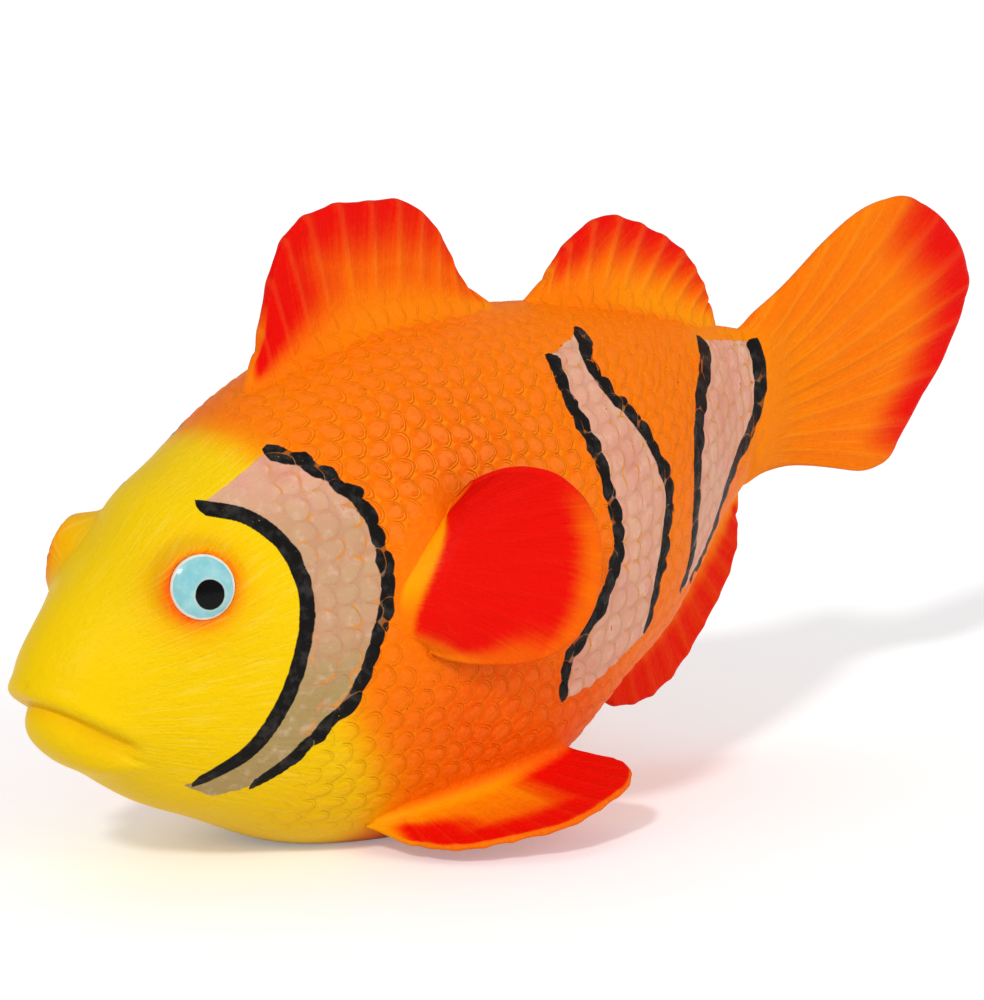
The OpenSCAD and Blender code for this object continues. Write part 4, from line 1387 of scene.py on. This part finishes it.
def make_filling():
    """Loose stuffing: the filling's solid, made lumpy."""
    obj = frame["nodes"]["fibre_filling"].copy()
    obj.data = obj.data.copy()
    obj.name = "stuffing"
    obj.parent = None
    obj.matrix_world = Matrix.Identity(4)
    bpy.context.scene.collection.objects.link(obj)
    remesh = obj.modifiers.new("even", "REMESH")
    remesh.mode = "VOXEL"
    remesh.voxel_size = FILLING_STEP
    bpy.context.view_layer.update()
    mesh = bpy.data.meshes.new_from_object(obj.evaluated_get(bpy.context.evaluated_depsgraph_get()))
    obj.modifiers.clear()
    obj.data = mesh
    co = np.empty(len(mesh.vertices) * 3)
    mesh.vertices.foreach_get("co", co)
    co = co.reshape(-1, 3)
    lump = np.sin(co * LUMP_RATES + LUMP_PHASES).prod(axis=1)
    co = co + unit(co.mean(0) - co) * (FILLING_INSET + LUMP_HEIGHT * lump)[:, None]
    mesh.vertices.foreach_set("co", co.ravel())
    mesh.polygons.foreach_set("use_smooth", np.ones(len(mesh.polygons), bool))
    mesh.update()
    return obj


stuffing = dress(make_filling(), filling_fibre(), "filling_fibre", "fibre_filling")
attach(stuffing, "trunk")


# ---- stage, light and camera

FLOOR_LIFT = 0.24
FLOOR_HALF = 6.0
WORLD_STRENGTH = 0.42


def make_floor():
    """White floor that shows a little brighter than the light makes it."""
    mesh = bpy.data.meshes.new("floor")
    corners = [(-FLOOR_HALF, -FLOOR_HALF, 0), (FLOOR_HALF, -FLOOR_HALF, 0), (FLOOR_HALF, FLOOR_HALF, 0),
               (-FLOOR_HALF, FLOOR_HALF, 0)]
    mesh.from_pydata(corners, [], [(0, 1, 2, 3)])
    obj = bpy.data.objects.new("floor", mesh)
    bpy.context.scene.collection.objects.link(obj)
    g = Graph("floor")
    rays = g.node("ShaderNodeLightPath").outputs
    seen = g.maximum(Field(g, rays["Is Camera Ray"]), Field(g, rays["Is Transmission Ray"]))
    seen = g.maximum(seen, Field(g, rays["Is Glossy Ray"]))
    g.set(Base_Color=rgb(248, 248, 248), Roughness=0.9, Specular_IOR_Level=0.1)
    g.set(Emission_Color=(1.0, 1.0, 1.0, 1.0), Emission_Strength=seen * FLOOR_LIFT)
    mesh.materials.append(g.material)


def sun(name, direction, strength, angle, glint=False):
    """Sun that shines from a direction, as wide as the angle in degrees."""
    light = bpy.data.lights.new(name, "SUN")
    light.energy = strength
    light.angle = math.radians(angle)
    obj = bpy.data.objects.new(name, light)
    obj.rotation_mode = "QUATERNION"
    obj.rotation_quaternion = (-Vector(direction)).to_track_quat("-Z", "Y")
    obj.visible_glossy = glint
    bpy.context.scene.collection.objects.link(obj)


make_floor()
sun("key", (-0.914, -0.492, 0.8), 1.28, 6, glint=True)
sun("fill", (0.35, -1.2, 0.45), 1.05, 50)
sun("back", (0.2, 0.6, 1.2), 0.4, 60)

world = bpy.data.worlds.new("studio")
bpy.context.scene.world = world
world.use_nodes = True
background = world.node_tree.nodes["Background"]
background.inputs["Color"].default_value = (1.0, 1.0, 1.0, 1.0)
background.inputs["Strength"].default_value = WORLD_STRENGTH

# The camera stands where the photograph was taken from: 42 degrees towards the nose, 12.2 degrees up
AZIMUTH, ELEVATION = math.radians(-42.0), math.radians(12.2)
DISTANCE = 1.0
FOCAL_PIXELS = 6290.0
SENSOR = 36.0
IMAGE_WIDTH, IMAGE_HEIGHT = 984.0, 1000.0
TARGET = Vector((0, 0, 0.0439))
TARGET_PIXEL = (527.5, 513.4)
back = Vector((math.sin(AZIMUTH), -math.cos(AZIMUTH), math.tan(ELEVATION))) * math.cos(ELEVATION)
right = Vector((math.cos(AZIMUTH), math.sin(AZIMUTH), 0))
above = back.cross(right)
look = -back
look += right * ((IMAGE_WIDTH / 2 - TARGET_PIXEL[0]) / FOCAL_PIXELS)
look -= above * ((IMAGE_HEIGHT / 2 - TARGET_PIXEL[1]) / FOCAL_PIXELS)
camera_data = bpy.data.cameras.new("camera")
camera_data.sensor_width = SENSOR
camera_data.lens = SENSOR * FOCAL_PIXELS / max(IMAGE_WIDTH, IMAGE_HEIGHT)
camera = bpy.data.objects.new("camera", camera_data)
camera.location = TARGET + back * DISTANCE
camera.rotation_mode = "QUATERNION"
camera.rotation_quaternion = look.to_track_quat("-Z", "Y")
bpy.context.scene.collection.objects.link(camera)
bpy.context.scene.camera = camera
bpy.context.scene.view_settings.view_transform = "Standard"
